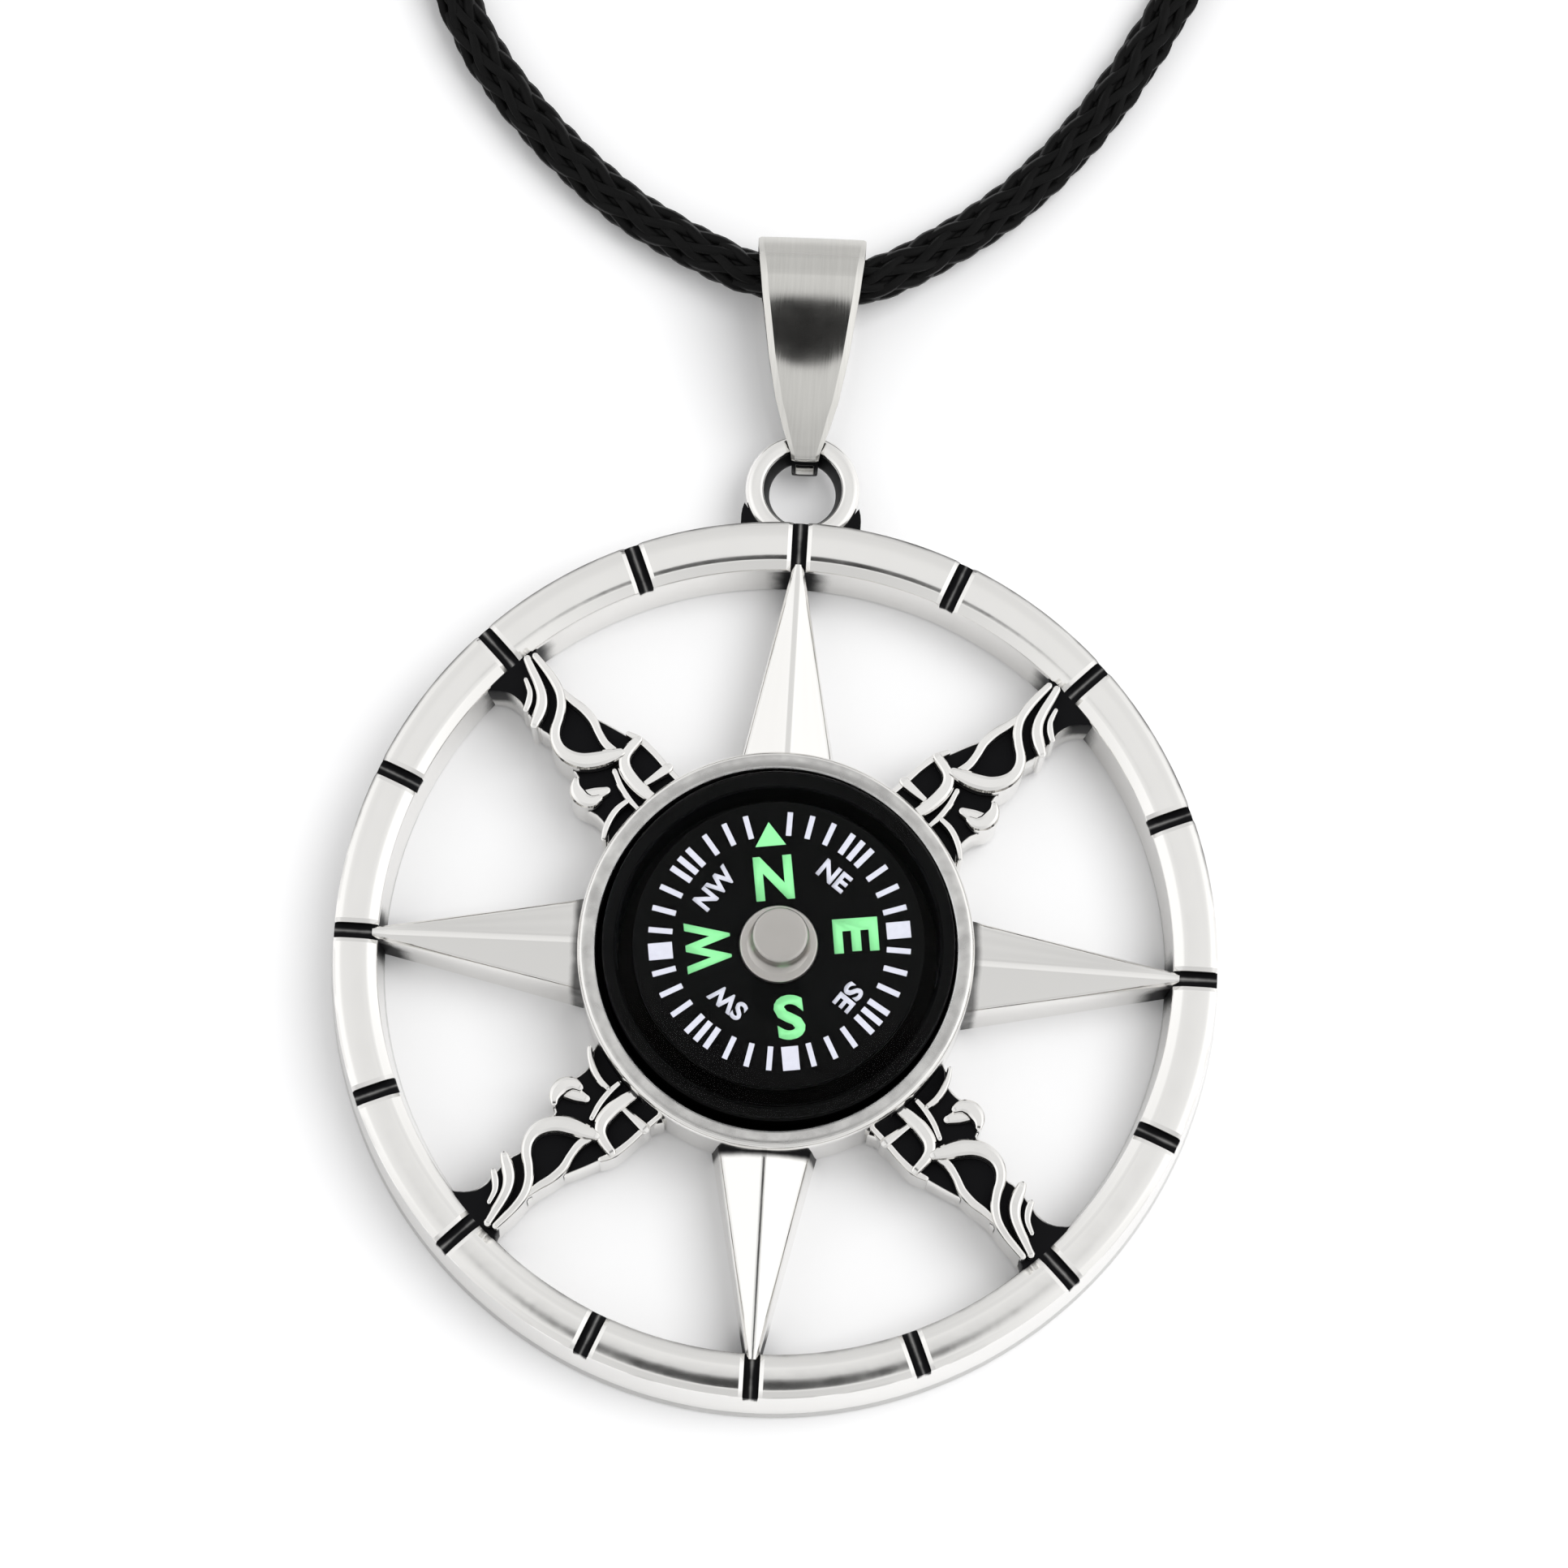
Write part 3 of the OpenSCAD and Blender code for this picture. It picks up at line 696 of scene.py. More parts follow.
def rim_sector():
    """One block of the rim, with half a groove at each end."""
    span = 360 / BLOCKS
    floor = RIM_H - GROOVE_D
    edge = GROOVE_W / 2
    black_to = floor - 0.12
    grey_to = floor - 0.4
    # Rings across half a groove: distance from its middle, height that cuts the rim off there, and tarnish,
    # lighter in the groove's middle as a painted highlight
    ends = [(0, floor + 0.06, 0.62), (edge * 0.4, floor + 0.04, 0.8), (edge * 0.8, floor, 1.0),
            (edge, floor, 1.0), (edge + 0.02, RIM_H - CHAMFER_H, 0.7), (edge + 0.05, RIM_H - 0.14, 0.1),
            (edge + CHAMFER_REACH, RIM_H, 0.0)]
    clear = 3.0
    plain = 10
    rings = [(0, across, top, dark) for across, top, dark in ends]
    rings += [(clear + (span - 2 * clear) * k / plain, 0, RIM_H, 0.0) for k in range(plain + 1)]
    rings += [(span, -across, top, dark) for across, top, dark in reversed(ends)]
    verts = []
    tarnish_and_shade = []
    for angle, across, top, dark in rings:
        for r, z in rim_section(top):
            a = math.radians(angle) + math.asin(across / r)
            verts.append((r * math.cos(a), r * math.sin(a), z))
            # Below the groove's floor the walls get half as much, as painted shade.
            tarnish_and_shade.append(dark if z > black_to else dark * 0.5 * (z > grey_to))
    return make_object("rim_sector", verts, grid_faces(len(rings), len(verts) // len(rings)), 30, tarnish_and_shade)


def rim_shade(x, y, z):
    """Painted shade on the face's inner edge in the south and on its outer edge in the north."""
    r = math.hypot(x, y)
    if r < RIM_IN + 0.05 and z > 3.4:
        return 0.5 * fade(y / r, -0.7, -0.2)
    if r > RIM_R - 0.12 and z > 2.6:
        return 0.6 * fade(-y / r, -0.3, 0.1)
    return 0.0


def rim(material):
    made = copies_round_axis(rim_sector(), "rim", BLOCKS, 90, material)
    tidy_mesh(made.data, 24)
    # Painted shade in the corners beside the rays and the spokes, and along the rim's shaded edges.
    darken_corners(made, RIM_IN - 0.25, RIM_IN + 0.02, ray_reach=0.3, spoke_reach=1.2, width=2.1,
                   top=RIM_H - 0.4)
    darken(made, rim_shade)
    for v in made.data.vertices:
        r = v.co.xy.length / MM
        north = v.co.y / MM / r
        outward = 1 - fade(r, RIM_IN + 0.5, RIM_IN + 1.7)
        foot = 1 - fade(r, RIM_R, RIM_R + RIM_DRAFT_OUT)
        stretch = 1 + RIM_OVAL * (max(0.0, north) ** 2 * outward + max(0.0, -north) ** 2 * foot)
        v.co.x *= stretch
        v.co.y *= stretch
    return made


def ray_shape():
    """One ray: two facets with faint ripples along them, a narrow ridge between and sloping flanks."""
    near_y = LIP_IN + 0.35
    far_y = RIM_IN + 0.3
    close = [HUB_R + 0.15 * k for k in range(7)]
    even = 22
    stops = [near_y] + close + [close[-1] + (far_y - close[-1]) * (k + 1) / even for k in range(even)]
    steps = 12
    waves = 2.5
    bevel = 0.09
    verts = []
    tarnish_and_shade = []
    for y in stops:
        t = (y - near_y) / (far_y - near_y)
        foot = (RAY_FOOT + (RAY_TIP + 0.3 - RAY_FOOT) * t) / 2
        face = (RAY_FACE + (RAY_TIP - RAY_FACE) * t) / 2
        ridge = RAY_RIDGE_H + (RAY_TIP_H - RAY_RIDGE_H) * t
        flat_x = min(0.13, face * 0.3)
        round_x = min(0.2, face * 0.55)
        slope = (ridge - RAY_EDGE_H) / face
        drop = slope * round_x
        half = [(foot, 0.0), (face + (foot - face) * 0.5, RAY_EDGE_H * 0.5), (face + 0.05, RAY_EDGE_H - 0.25),
                (face, RAY_EDGE_H - 0.08), (face - bevel, RAY_EDGE_H + 0.015)]
        for k in range(1, steps):
            x = face - bevel + (round_x - face + bevel) * k / steps
            ripple = RAY_RIPPLE * (1 - t) * math.sin(2 * math.pi * waves * k / steps)
            half.append((x, RAY_EDGE_H + slope * (face - x) + ripple))
        half += [(round_x, ridge - drop), (flat_x + 0.03, ridge - drop * 0.72), (flat_x, ridge - drop * 0.66)]
        section = [(-x, z) for x, z in half] + [(0, ridge - drop * 0.64)] + half[::-1]
        for x, z in section:
            verts.append((x, y, z))
            # Painted shade on the lower flanks near the tip, where the ray meets the rim.
            tarnish_and_shade.append(fade(RIM_IN - y, 0.5, 2.6) * fade(z, 2.9, RAY_EDGE_H))
    return make_object("ray", verts, tube_faces(len(stops), len(section)), 28, tarnish_and_shade)


def ray_shade(x, y, z):
    """Painted shade on the rays' hub ends, most in the south and least in the north."""
    past_hub = HUB_R - 2
    share = 0.85 if y < -past_hub else 0.2 if y > past_hub else 0.65
    return share * fade(max(abs(x), abs(y)), HUB_R + 0.05, HUB_R + 0.65)


def rays(material):
    made = copies_round_axis(ray_shape(), "rays", 4, 0, material)
    tidy_mesh(made.data, 28)
    darken(made, ray_shade)
    return made


def hub_cup():
    """The cup with its rounded lip, which is smudged on top and black inside."""
    lip = LIP_IN + 0.18
    corner_r = 0.34
    corner_h = 0.45
    section = [(0, 0), (HUB_R - 0.2, 0), (HUB_R, 0.2), (HUB_R, 2.5), (HUB_R, HUB_H - 0.75)]
    section += [(HUB_R - corner_r + corner_r * x, HUB_H - corner_h + corner_h * z)
                for x, z in arc_points(0, 0, 1, 0, 90, 6)]
    section += [(HUB_R - 0.5, HUB_H), (lip, HUB_H - 0.02)]
    section += arc_points(lip, HUB_H - 0.2, 0.18, 90, 180, 4)
    section += [(LIP_IN, HUB_H - 0.5), (LIP_IN, HUB_FLOOR), (0, HUB_FLOOR)]
    tarnish_and_shade = []
    for r, z in section:
        inside = r <= LIP_IN and z < HUB_H - 0.4
        on_lip = LIP_IN < r < HUB_R - 0.25 and z > HUB_H - 0.3
        tarnish_and_shade.append(1.0 if inside else 0.46 if on_lip else 0.0)
    made = lathe("hub_cup", section, 192, tarnish_and_shade=tarnish_and_shade)
    for v in made.data.vertices:
        v.co.x *= 1 - HUB_OVAL / 2
        v.co.y *= 1 + HUB_OVAL
    # Painted shade on the wall in the corners beside the rays and the spokes.
    darken_corners(made, HUB_R - 0.05, HUB_R + 0.05, ray_reach=RAY_FOOT / 2 - 0.1, spoke_reach=2.5,
                   width=0.4, top=HUB_H - corner_h)
    return made


def top_loop():
    """The ring for the bail: a rounded band with a dark inner wall that narrows towards the back; the dark is
    painted shade.
    """
    hole = LOOP_R - LOOP_BAND
    back = LOOP_Z - LOOP_T / 2
    front = LOOP_Z + LOOP_T / 2
    section = [(LOOP_R - 0.35, back), (hole - 0.2, back), (hole - 0.32, back + 0.12),
               (hole - 0.3, back + 0.4), (hole - 0.05, front - 0.4), (hole, front - 0.26)]
    section += arc_points(hole + 0.22, front - 0.22, 0.22, 180, 90, 5)[1:]
    section += arc_points(LOOP_R - 0.4, front - 0.4, 0.4, 90, 0, 7)
    section += [(LOOP_R, LOOP_Z), (LOOP_R - 0.12, back + 0.15)]
    dark = [0.0, 0.9, 0.9, 0.9, 0.9, 0.85] + [0.0] * (len(section) - 6)
    ring = lathe("top_loop", section, 96, (0, LOOP_Y), 50, dark)
    # Painted shade where the loop meets the rim.
    darken(ring, lambda x, y, z: 0.9 * fade(math.hypot(x, y) - RIM_R, 0.3, 0.6))
    return join_shapes("top_loop", [ring, loop_foot()])


def loop_foot():
    """The web between the loop and the rim, painted dark towards its top as shade."""
    low = LOOP_Z - LOOP_T / 2 + 0.15
    high = LOOP_Z + LOOP_T / 2 - 0.3
    half = [(LOOP_R + 0.13, RIM_R - 0.5), (LOOP_R + 0.14, RIM_R + 0.9), (LOOP_R + 0.1, RIM_R + 1.25),
            (LOOP_R, RIM_R + 1.6), (LOOP_R - 0.3, RIM_R + 1.2), (LOOP_R - 0.8, RIM_R + 0.8),
            (1.3, RIM_R + 0.5)]
    outline = half + [(-x, y) for x, y in reversed(half)]
    verts = [(x, y, z) for z in (low, high) for x, y in outline]
    tarnish_and_shade = [0.0] * len(outline) + [0.9] * len(outline)
    return make_object("loop_foot", verts, tube_faces(2, len(outline)), 30, tarnish_and_shade)


# Scroll spokes


def inside_outline(u, v, outline):
    hit = False
    for (u1, v1), (u2, v2) in zip(outline, outline[1:] + outline[:1]):
        if (v1 > v) != (v2 > v) and u < (u2 - u1) * (v - v1) / (v2 - v1) + u1:
            hit = not hit
    return hit


def to_quadrant(u, v, side, end):
    """The place of a spoke's point in the quadrant given by side and end, each 1 or -1."""
    half = math.sqrt(0.5)
    return side * half * (u + v), end * half * (u - v)


def relief_strand(name, strand, side, end):
    """A raised strand along its points, with a flat back and two bevels down to each side."""
    top, points = strand
    line = smooth_route(points, STRAND_REACH)
    last = len(line) - 1
    rows = []
    for i, point in enumerate(line):
        heading = (line[min(i + 1, last)] - line[max(i - 1, 0)]).to_2d().normalized()
        rows.append((point.to_2d(), heading, point.z / 2, 1.0))
    # Each end is rounded by narrower and lower rows past it
    for at, way in ((0, -1), (-1, 1)):
        place, heading, half, _ = rows[at]
        tips = []
        for out, rise in arc_points(0, 0, 1, 15, 65, 2):
            tips.append((place + heading * way * half * out, heading, half * rise, rise))
        rows = tips + rows if way < 0 else rows + tips[::-1]
    verts = []
    tarnish_and_shade = []
    for place, heading, half, rise in rows:
        left = Vector((-heading.y, heading.x))
        back = top - (1 - rise) * 0.5 * half
        steep = back - 0.12 * half
        wall = steep - 0.3 * half
        section = [(half, 0.6), (half, GROUND_H - 0.1), (half, wall), (half * 0.8, steep),
                   (half * 0.45, back)]
        section += [(0, back)] + [(-across, z) for across, z in reversed(section)]
        for across, z in section:
            spot = place + left * across
            verts.append((*to_quadrant(spot.x, spot.y, side, end), z))
            sunk = inside_outline(spot.x, spot.y, GROUND) and z > 3
            tarnish_and_shade.append(fade(z, GROUND_H + 0.15, GROUND_H + 0.5) if sunk else 0.0)
    return make_object(name, verts, tube_faces(len(rows), len(section)), 16, tarnish_and_shade)


def spoke_ground(side, end):
    """The sunk plate between a spoke's strands, black on top."""
    outline = smooth_route([Vector((u, v, 0)) for u, v in GROUND + GROUND[:1]], GROUND_REACH)[:-1]
    count = len(outline)
    inset = 0.06
    # Rings from the bottom up: distance in from the outline, height and tarnish
    rings = [(0.0, 0.15, 0.0), (0.0, 2.0, 0.0), (0.0, GROUND_H - 0.12, 0.0), (inset, GROUND_H, 0.3),
             (inset * 2.5, GROUND_H - 0.03, 1.0)]
    verts = []
    tarnish_and_shade = []
    for push, z, dark in rings:
        for i, point in enumerate(outline):
            # Painted shade on the plate's walls near the rim.
            beside_rim = fade(RIM_IN - point.x, 0.6, 2.2) * fade(GROUND_H - z, 2, 3.4)
            heading = (outline[(i + 1) % count] - outline[i - 1]).normalized()
            place = point + Vector((heading.y, -heading.x, 0)) * push
            verts.append((*to_quadrant(place.x, place.y, side, end), z))
            tarnish_and_shade.append(max(dark, 0.9 * beside_rim))
    made = make_object("spoke_ground", verts, tube_faces(len(rings), count), 40, tarnish_and_shade)
    bm = bmesh.new()
    bm.from_mesh(made.data)
    bmesh.ops.triangulate(bm, faces=[f for f in bm.faces if len(f.verts) > 4])
    bm.to_mesh(made.data)
    bm.free()
    return made


def scroll_spokes():
    shapes = []
    for side in (1, -1):
        for end in (1, -1):
            shapes.append(spoke_ground(side, end))
            shapes += [relief_strand(name, strand, side, end) for name, strand in STRANDS.items()]
    return shapes


def compass_rose(material):
    shapes = [rim(material), rays(material), hub_cup(), top_loop()]
    return join_shapes("compass_rose", shapes + scroll_spokes())


# Bail


def bail_side(offset):
    """Side view of the bail's outer or inner face: round the eye, down the front, round the fold and back."""
    eye_r = EYE_R + offset
    fold_r = FOLD_R + offset
    line = arc_points(EYE_Y, EYE_Z, eye_r, -90, 90, 45)
    fold = arc_points(FOLD_Y, LOOP_Z, fold_r, FOLD_START, 268, 39)
    start_y, start_z = fold[0]
    for k in range(1, 40):
        t = k / 40
        bulge = BAIL_BULGE * 4 * t * (1 - t)
        line.append((EYE_Y + (start_y - EYE_Y) * t, (EYE_Z + eye_r) * (1 - t) + start_z * t + bulge))
    line += fold + [(FOLD_Y, LOOP_Z - fold_r)]
    for k in range(1, 12):
        t = k / 12
        line.append((FOLD_Y + (EYE_Y - FOLD_Y) * t, (LOOP_Z - fold_r) * (1 - t) + (EYE_Z - eye_r) * t))
    return line


def fold_painted_shade(across, y, z):
    """Painted shade on the fold, all round a small bright face that shows in the loop."""
    shaded_from = 140
    bright_from = 152
    bright_to = 178
    bright_half = 0.5
    angle = math.degrees(math.atan2(z - LOOP_Z, y - FOLD_Y)) % 360
    if y > FOLD_Y or angle < shaded_from:
        return 0.0
    bright = abs(across) < bright_half and bright_from <= angle <= bright_to
    return 0.0 if bright else 0.95


def folded_bail():
    """A strip of sheet, folded over the cord and through the loop, with bevelled edges."""
    hollow = 0.02
    outer = bail_side(STRIP_T)
    verts = []
    tarnish_and_shade = []
    for (yo, zo), (yi, zi) in zip(outer, bail_side(0)):
        on_front = yo < EYE_Y and zo > LOOP_Z
        behind = 0.0 if zo > EYE_Z or on_front else 1 - fade(EYE_Y + EYE_R - yo, 0, EYE_R)
        wide = table_value(BAIL_OUTLINE, yo - BACK_INSET * behind)
        rise = max(0.0, (zo - EYE_Z) / (EYE_R + STRIP_T))
        bevel = min(BAIL_BEVEL, wide * 0.25) * (1.0 if on_front else 0.35 + 0.65 * rise * rise)
        out_dir = Vector((yo - yi, zo - zi)).normalized()
        side = [(-wide, STRIP_T), (-wide, bevel * 0.55), (-wide + bevel * 0.08, bevel * 0.48),
                (-wide + bevel * 0.92, bevel * 0.04), (-wide + bevel, 0.0)]
        flat = [(-1 + k / 4) * (wide - bevel) for k in range(1, 8)]
        section = side + [(x, -hollow * (1 - (x / wide) ** 2)) for x in flat]
        section += [(-x, depth) for x, depth in reversed(side)]
        for x, depth in section:
            lean_x, lean_y = turned(x, yo - out_dir.x * depth - FOLD_Y, BAIL_LEAN)
            verts.append((lean_x, FOLD_Y + lean_y, zo - out_dir.y * depth))
            # Painted shade on the fold.
            tarnish_and_shade.append(fold_painted_shade(x, yo, zo))
    return make_object("folded_bail", verts, grid_faces(len(outer), len(section), True), 12, tarnish_and_shade)


# Button compass


def capsule():
    """The black cup, with a collar in its middle for the pin."""
    inner = CAPSULE_R - CAPSULE_T
    floor = CAPSULE_BOTTOM + 1
    collar = floor + 0.6
    pin_foot = CAPSULE_BOTTOM + 0.8
    section = [(0, CAPSULE_BOTTOM), (CAPSULE_R - 0.1, CAPSULE_BOTTOM), (CAPSULE_R, CAPSULE_BOTTOM + 0.1),
               (CAPSULE_R, CAPSULE_H - 0.1), (CAPSULE_R - 0.1, CAPSULE_H), (inner + 0.15, CAPSULE_H),
               (inner, CAPSULE_H - 0.15), (inner, floor), (1.2, floor), (0.8, collar), (PIN_R, collar),
               (PIN_R, pin_foot), (0, pin_foot)]
    return lathe("capsule_cup", section, centre=DIAL)


def dome():
    """The clear dome, a shell between two spheres that stands on the capsule's edge."""
    edge = CAPSULE_R - 0.05
    foot = CAPSULE_H + 0.02
    wall_h = 0.9
    shell = 0.5
    rise = DOME_H - foot - wall_h
    outer_r = (edge * edge + rise * rise) / (2 * rise)
    inner_r = outer_r - shell
    inner_edge = edge - CAPSULE_T + 0.1
    middle = DOME_H - outer_r
    steps = 24

    def shell_arc(r, side):
        """Points of a sphere from its top to the radius side."""
        return arc_points(0, middle, r, 90, 90 - math.degrees(math.asin(side / r)), steps)

    section = shell_arc(outer_r, edge)[:-1]
    section += arc_points(edge - 0.25, foot + wall_h - 0.3, 0.25, 60, 0, 4)
    section += [(edge, foot), (inner_edge, foot)] + shell_arc(inner_r, inner_edge)[::-1]
    return lathe("clear_dome", section, centre=DIAL, sharp=40)


def card():
    bottom = CARD_Z - CARD_T
    hole = CAP_CROWN_R - 0.4
    edge = 0.06
    section = [(hole, bottom), (CARD_R - edge, bottom), (CARD_R, bottom + edge), (CARD_R, CARD_Z - edge),
               (CARD_R - edge, CARD_Z), (hole, CARD_Z)]
    return lathe("compass_card", section, centre=DIAL)


def pivot_cap():
    """The cap on the card. Its crown sits off centre on the foot."""
    low = CARD_Z + 0.02
    crown = low + CAP_H - 0.02
    foot = low + 0.3
    roof = crown - 0.45
    section = [(PIN_HOLE_R, low), (CAP_FOOT_R - 0.05, low), (CAP_FOOT_R, low + 0.05),
               (CAP_FOOT_R - 0.02, low + 0.16)]
    section += arc_points(CAP_FOOT_R - 0.14, foot - 0.12, 0.12, 20, 90, 4)
    section += [(CAP_CROWN_R + 0.18, foot), (CAP_CROWN_R + 0.1, foot + 0.1), (CAP_CROWN_R, crown - 0.2)]
    section += arc_points(CAP_CROWN_R - 0.2, crown - 0.2, 0.2, 15, 90, 5)
    section += [(0.8, crown), (0, crown), (0, roof), (PIN_HOLE_R, roof)]
    made = lathe("pivot_cap", section, 96, DIAL, 35)
    for v in made.data.vertices:
        from_pin = (v.co.xy - Vector(DIAL) * MM).length
        if v.co.z > (foot + 0.01) * MM and from_pin > (PIN_HOLE_R + 0.01) * MM:
            v.co.x += CROWN_SHIFT[0] * MM
            v.co.y += CROWN_SHIFT[1] * MM
    return made


def on_card(x, y, angle, on_top):
    """The place of a printed point, turned from the card's north: above the card, or a little way into it."""
    x, y = turned(x, y, angle + CARD_TURN)
    z = CARD_Z + PRINT_T if on_top else CARD_Z - PRINT_DEPTH
    return Vector((PRINT_AT[0] + x, PRINT_AT[1] + y, z)) * MM


def flat_print(name, outlines):
    """Printed marks: thin plates on the card's face, one for each outline of (x, y) about its middle."""
    bm = bmesh.new()
    for outline in outlines:
        low, high = ([bm.verts.new(on_card(x, y, 0, on_top)) for x, y in outline] for on_top in (False, True))
        bm.faces.new(high)
        bm.faces.new(low[::-1])
        for k in range(len(outline)):
            bm.faces.new((low[k - 1], low[k], high[k], high[k - 1]))
    bmesh.ops.recalc_face_normals(bm, faces=bm.faces)
    return object_from(bm, name)


def bar(angle, width):
    """A radial bar of the scale at an angle anticlockwise from the card's north."""
    half = width / 2
    corners = [(-half, TICK_OUT), (-half, TICK_IN), (half, TICK_IN), (half, TICK_OUT)]
    return [turned(x, y, angle) for x, y in corners]


def scale_marks():
    """The scale: bars with a close group of three in each quadrant, and blocks at east, south and west."""
    bars = []
    for quadrant in range(0, 360, 90):
        bars += [bar(quadrant + a, TICK_W) for a in (10, 20, 30, 60, 70, 80)]
        bars += [bar(quadrant + a, CLOSE_TICK_W) for a in (39.6, 45, 50.4)]
    return flat_print("scale_marks", bars + [bar(a, BLOCK_TICK_W) for a in (90, 180, 270)])


def letters(name, entries, height):
    """Capital letters on the card, tops outward. Each entry: text, angle from north, radius and stretch."""
    shapes = []
    for text, angle, radius, stretch in entries:
        curve = bpy.data.curves.new(name, "FONT")
        curve.body = text
        curve.align_x = "CENTER"
        curve.align_y = "CENTER"
        curve.offset = LETTER_WEIGHT
        curve.resolution_u = 4
        written = add_object(name, curve)
        depsgraph = bpy.context.evaluated_depsgraph_get()
        bm = bmesh.new()
        bm.from_mesh(bpy.data.meshes.new_from_object(written.evaluated_get(depsgraph)))
        bpy.data.objects.remove(written)
        bmesh.ops.remove_doubles(bm, verts=bm.verts, dist=0.0005)
        xs = [v.co.x for v in bm.verts]
        ys = [v.co.y for v in bm.verts]
        middle = Vector((min(xs) + max(xs), min(ys) + max(ys), 0)) / 2
        size = height / (max(ys) - min(ys))
        solid = bmesh.ops.extrude_face_region(bm, geom=bm.faces[:])
        for item in solid["geom"]:
            if isinstance(item, bmesh.types.BMVert):
                item.co.z = 1
        for v in bm.verts:
            place = (v.co - middle) * size
            v.co = on_card(place.x * stretch, place.y + radius, angle, v.co.z > 0.5)
        bmesh.ops.recalc_face_normals(bm, faces=bm.faces)
        shapes.append(object_from(bm, name))
    return join_shapes(name, shapes)


# Clasp


def barrel_clasp():
    """A barrel with five grooves round it, plain at both ends."""
    half = CLASP_L / 2
    corner = 0.6
    section = [(0, -half), (CLASP_R - corner, -half)]
    section += arc_points(CLASP_R - corner, -half + corner, corner, 270, 360, 5)
    waist = CLASP_R - 0.22
    groove_w = 0.5
    slant = 0.16
    for y in (-5.4, -4.8, -0.3, 4.2, 4.8):
        section += [(CLASP_R, y), (waist, y + slant), (waist, y + groove_w - slant), (CLASP_R, y + groove_w)]
    section += arc_points(CLASP_R - corner, half - corner, corner, 0, 90, 5)
    section += [(0, half)]
    made = lathe("barrel_clasp", section, 64)
    place = Matrix.Translation(Vector((CORD_ROUTE[0][0], CLASP_Y, CLASP_R)) * MM)
    made.data.transform(place @ Matrix.Rotation(math.radians(90), 4, "X"))
    return made


# Seating and painting


def paint(thing, material):
    thing.data.materials.clear()
    thing.data.materials.append(material)


def put(piece, body, slot, material, *nodes):
    """Seats a finished piece on its body, in place of its CAD nodes."""
    paint(piece, material)
    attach(piece, body)
    if nodes:
        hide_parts(*nodes)
    return piece


def print_paint(name, low, high):
    return speckled(name, low, high, scale=4000, rough_low=0.4, rough_high=0.55, bump=0.05)


# Surroundings


def studio_floor():
    bpy.ops.mesh.primitive_plane_add(size=4, location=(0, 0, 0))
    floor = bpy.context.object
    floor.name = "floor"
    paper, _, _ = new_material("floor_paper", Base_Color=(0.84, 0.84, 0.845, 1), Roughness=0.9,
                               Specular_IOR_Level=0.1)
    floor.data.materials.append(paper)


def brightness_ramp(tree, reach, table):
    """A ramp over the distance from the dark spot."""
    ramp = add_node(tree, "ShaderNodeValToRGB", {"Fac": reach})
    elements = ramp.color_ramp.elements
    elements[0].position = 0
    elements[1].position = 1
    for chord, _ in table[1:-1]:
        elements.new(chord / STUDIO_REACH)
    for element, (_, value) in zip(elements, table):
        element.color = (value, value, value, 1)
    return ramp.outputs["Color"]


def studio_world():
    """A bright dome with a dark spot overhead, greyer in front and behind, a little brighter on the right."""
    world = bpy.data.worlds.new("studio")
    bpy.context.scene.world = world
    world.use_nodes = True
    tree = world.node_tree
    tree.nodes.clear()
    way = add_node(tree, "ShaderNodeTexCoord").outputs["Generated"]
    narrowed = vector_node(tree, "MULTIPLY", way, (SPOT_NARROW, 1, 1))
    reach = math_node(tree, "DIVIDE", vector_node(tree, "DISTANCE", narrowed, SPOT_AT), STUDIO_REACH)
    split = add_node(tree, "ShaderNodeSeparateXYZ", {0: way})
    across = math_node(tree, "POWER", split.outputs["X"], 2.0)
    along = math_node(tree, "POWER", split.outputs["Y"], 2.0)
    level = math_node(tree, "ADD", math_node(tree, "ADD", across, along), 0.001)
    sideways = math_node(tree, "DIVIDE", across, level)
    colour = mix_colours(tree, sideways, brightness_ramp(tree, reach, FRONT_BACK),
                         brightness_ramp(tree, reach, SIDES))
    rightward = map_range(tree, split.outputs["X"], -1, 1, 1.0, 1.1)
    backward = map_range(tree, split.outputs["Y"], -0.3, -0.12, 0.92, 1)
    strength = math_node(tree, "MULTIPLY", rightward, backward)
    glow = add_node(tree, "ShaderNodeBackground", {"Color": colour, "Strength": strength})
    add_node(tree, "ShaderNodeOutputWorld", {"Surface": glow})


def soft_box():
    """A broad lamp above and to the right, for the soft shadows."""
    lamp = bpy.data.lights.new("soft_box", "AREA")
    lamp.shape = "RECTANGLE"
    lamp.size = 0.4
    lamp.size_y = 0.4
    lamp.energy = 1.8
    thing = add_object("soft_box", lamp)
    thing.location = (0.27, 0.08, 0.5)
    thing.rotation_euler = (-thing.location).to_track_quat("-Z", "Y").to_euler()
    thing.visible_glossy = False
    thing.visible_transmission = False


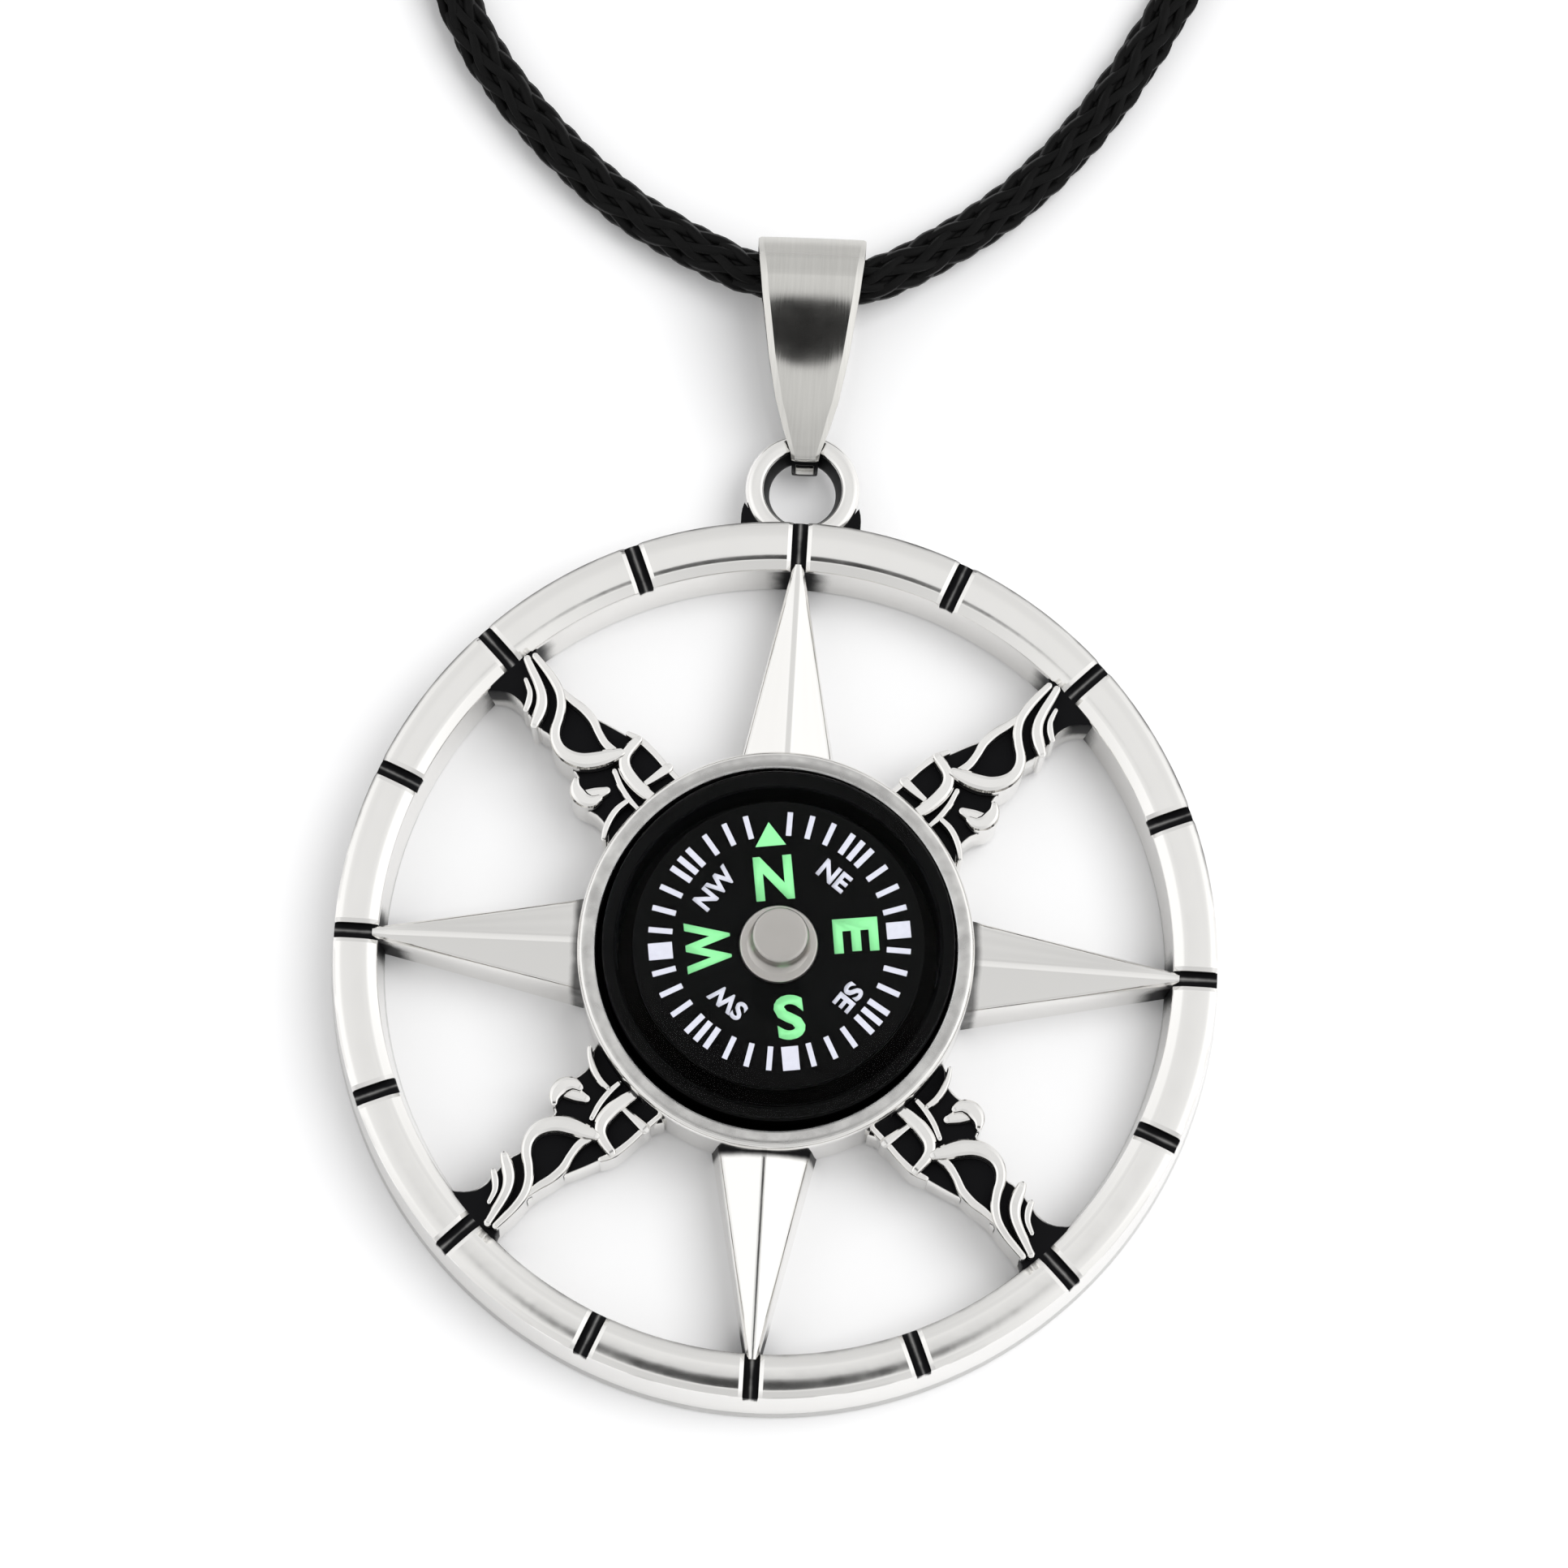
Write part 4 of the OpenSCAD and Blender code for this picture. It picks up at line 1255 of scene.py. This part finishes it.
bpy.context.scene.view_settings.view_transform = "Standard"
place_camera()
studio_floor()
studio_world()
soft_box()
TARNISH_AND_SHADE = tarnish_and_shade_group()
RING_ARRAY = ring_array_tree()

cord_finish = speckled("waxed_braid", (0.002, 0.002, 0.002), (0.006, 0.006, 0.006), scale=1500,
                       rough_low=0.36, rough_high=0.55, bump=0.4, Specular_IOR_Level=0.08)
cord, cord_path = braided_cord(cord_finish)
put(cord, "pendant", "cord_black", cord_finish, "cord")

steel = cast_steel()
strap = strap_steel()
put(compass_rose(steel), "pendant", "cast_steel", steel, "frame")
put(folded_bail(), "pendant", "strap_steel", strap, "bail")
black = speckled("capsule_black", *JET, scale=600, rough_low=0.4, rough_high=0.5, bump=0.05,
                 Specular_IOR_Level=0.06)
put(capsule(), "pendant", "capsule_black", black, "capsule")
put(dome(), "pendant", "clear_dome", clear_plastic(), "cover")
card_black = speckled("card_black", *JET, scale=900, rough_low=0.5, rough_high=0.65, Specular_IOR_Level=0.06)
put(card(), "card", "card_black", card_black, "card")
cap_metal = speckled("cap_metal", (0.5, 0.475, 0.44), (0.56, 0.53, 0.5), scale=700, rough_low=0.3,
                     rough_high=0.42, Metallic=1.0)
put(pivot_cap(), "card", "cap_metal", cap_metal, "card_cap")
white_paint = print_paint("white_print", (0.58, 0.58, 0.65), (0.7, 0.7, 0.78))
green_paint = print_paint("green_print", (0.24, 0.78, 0.3), (0.3, 0.86, 0.37))
put(scale_marks(), "card", "card_black", white_paint)
put(flat_print("north_pointer", [[(-0.82, 5.15), (0.82, 5.15), (0, 6.45)]]),
    "card", "card_black", green_paint)
put(letters("main_letters", [("N", 0, 3.4, 0.92), ("E", -91, 4.05, 1.25), ("S", 182, 4.15, 1.1),
                             ("W", 90, 3.8, 0.76)], height=2.4),
    "card", "card_black", green_paint)
put(letters("small_letters", [("NE", -45, 4.55, 1), ("SE", -135, 4.75, 1.15), ("SW", 135, 4.3, 1),
                              ("NW", 45, 4.45, 1)], height=1.06),
    "card", "card_black", white_paint)
clasp = put(barrel_clasp(), "pendant", "clasp_steel", strap, "clasp")
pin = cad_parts["pivot_pin"]
paint(pin, strap)
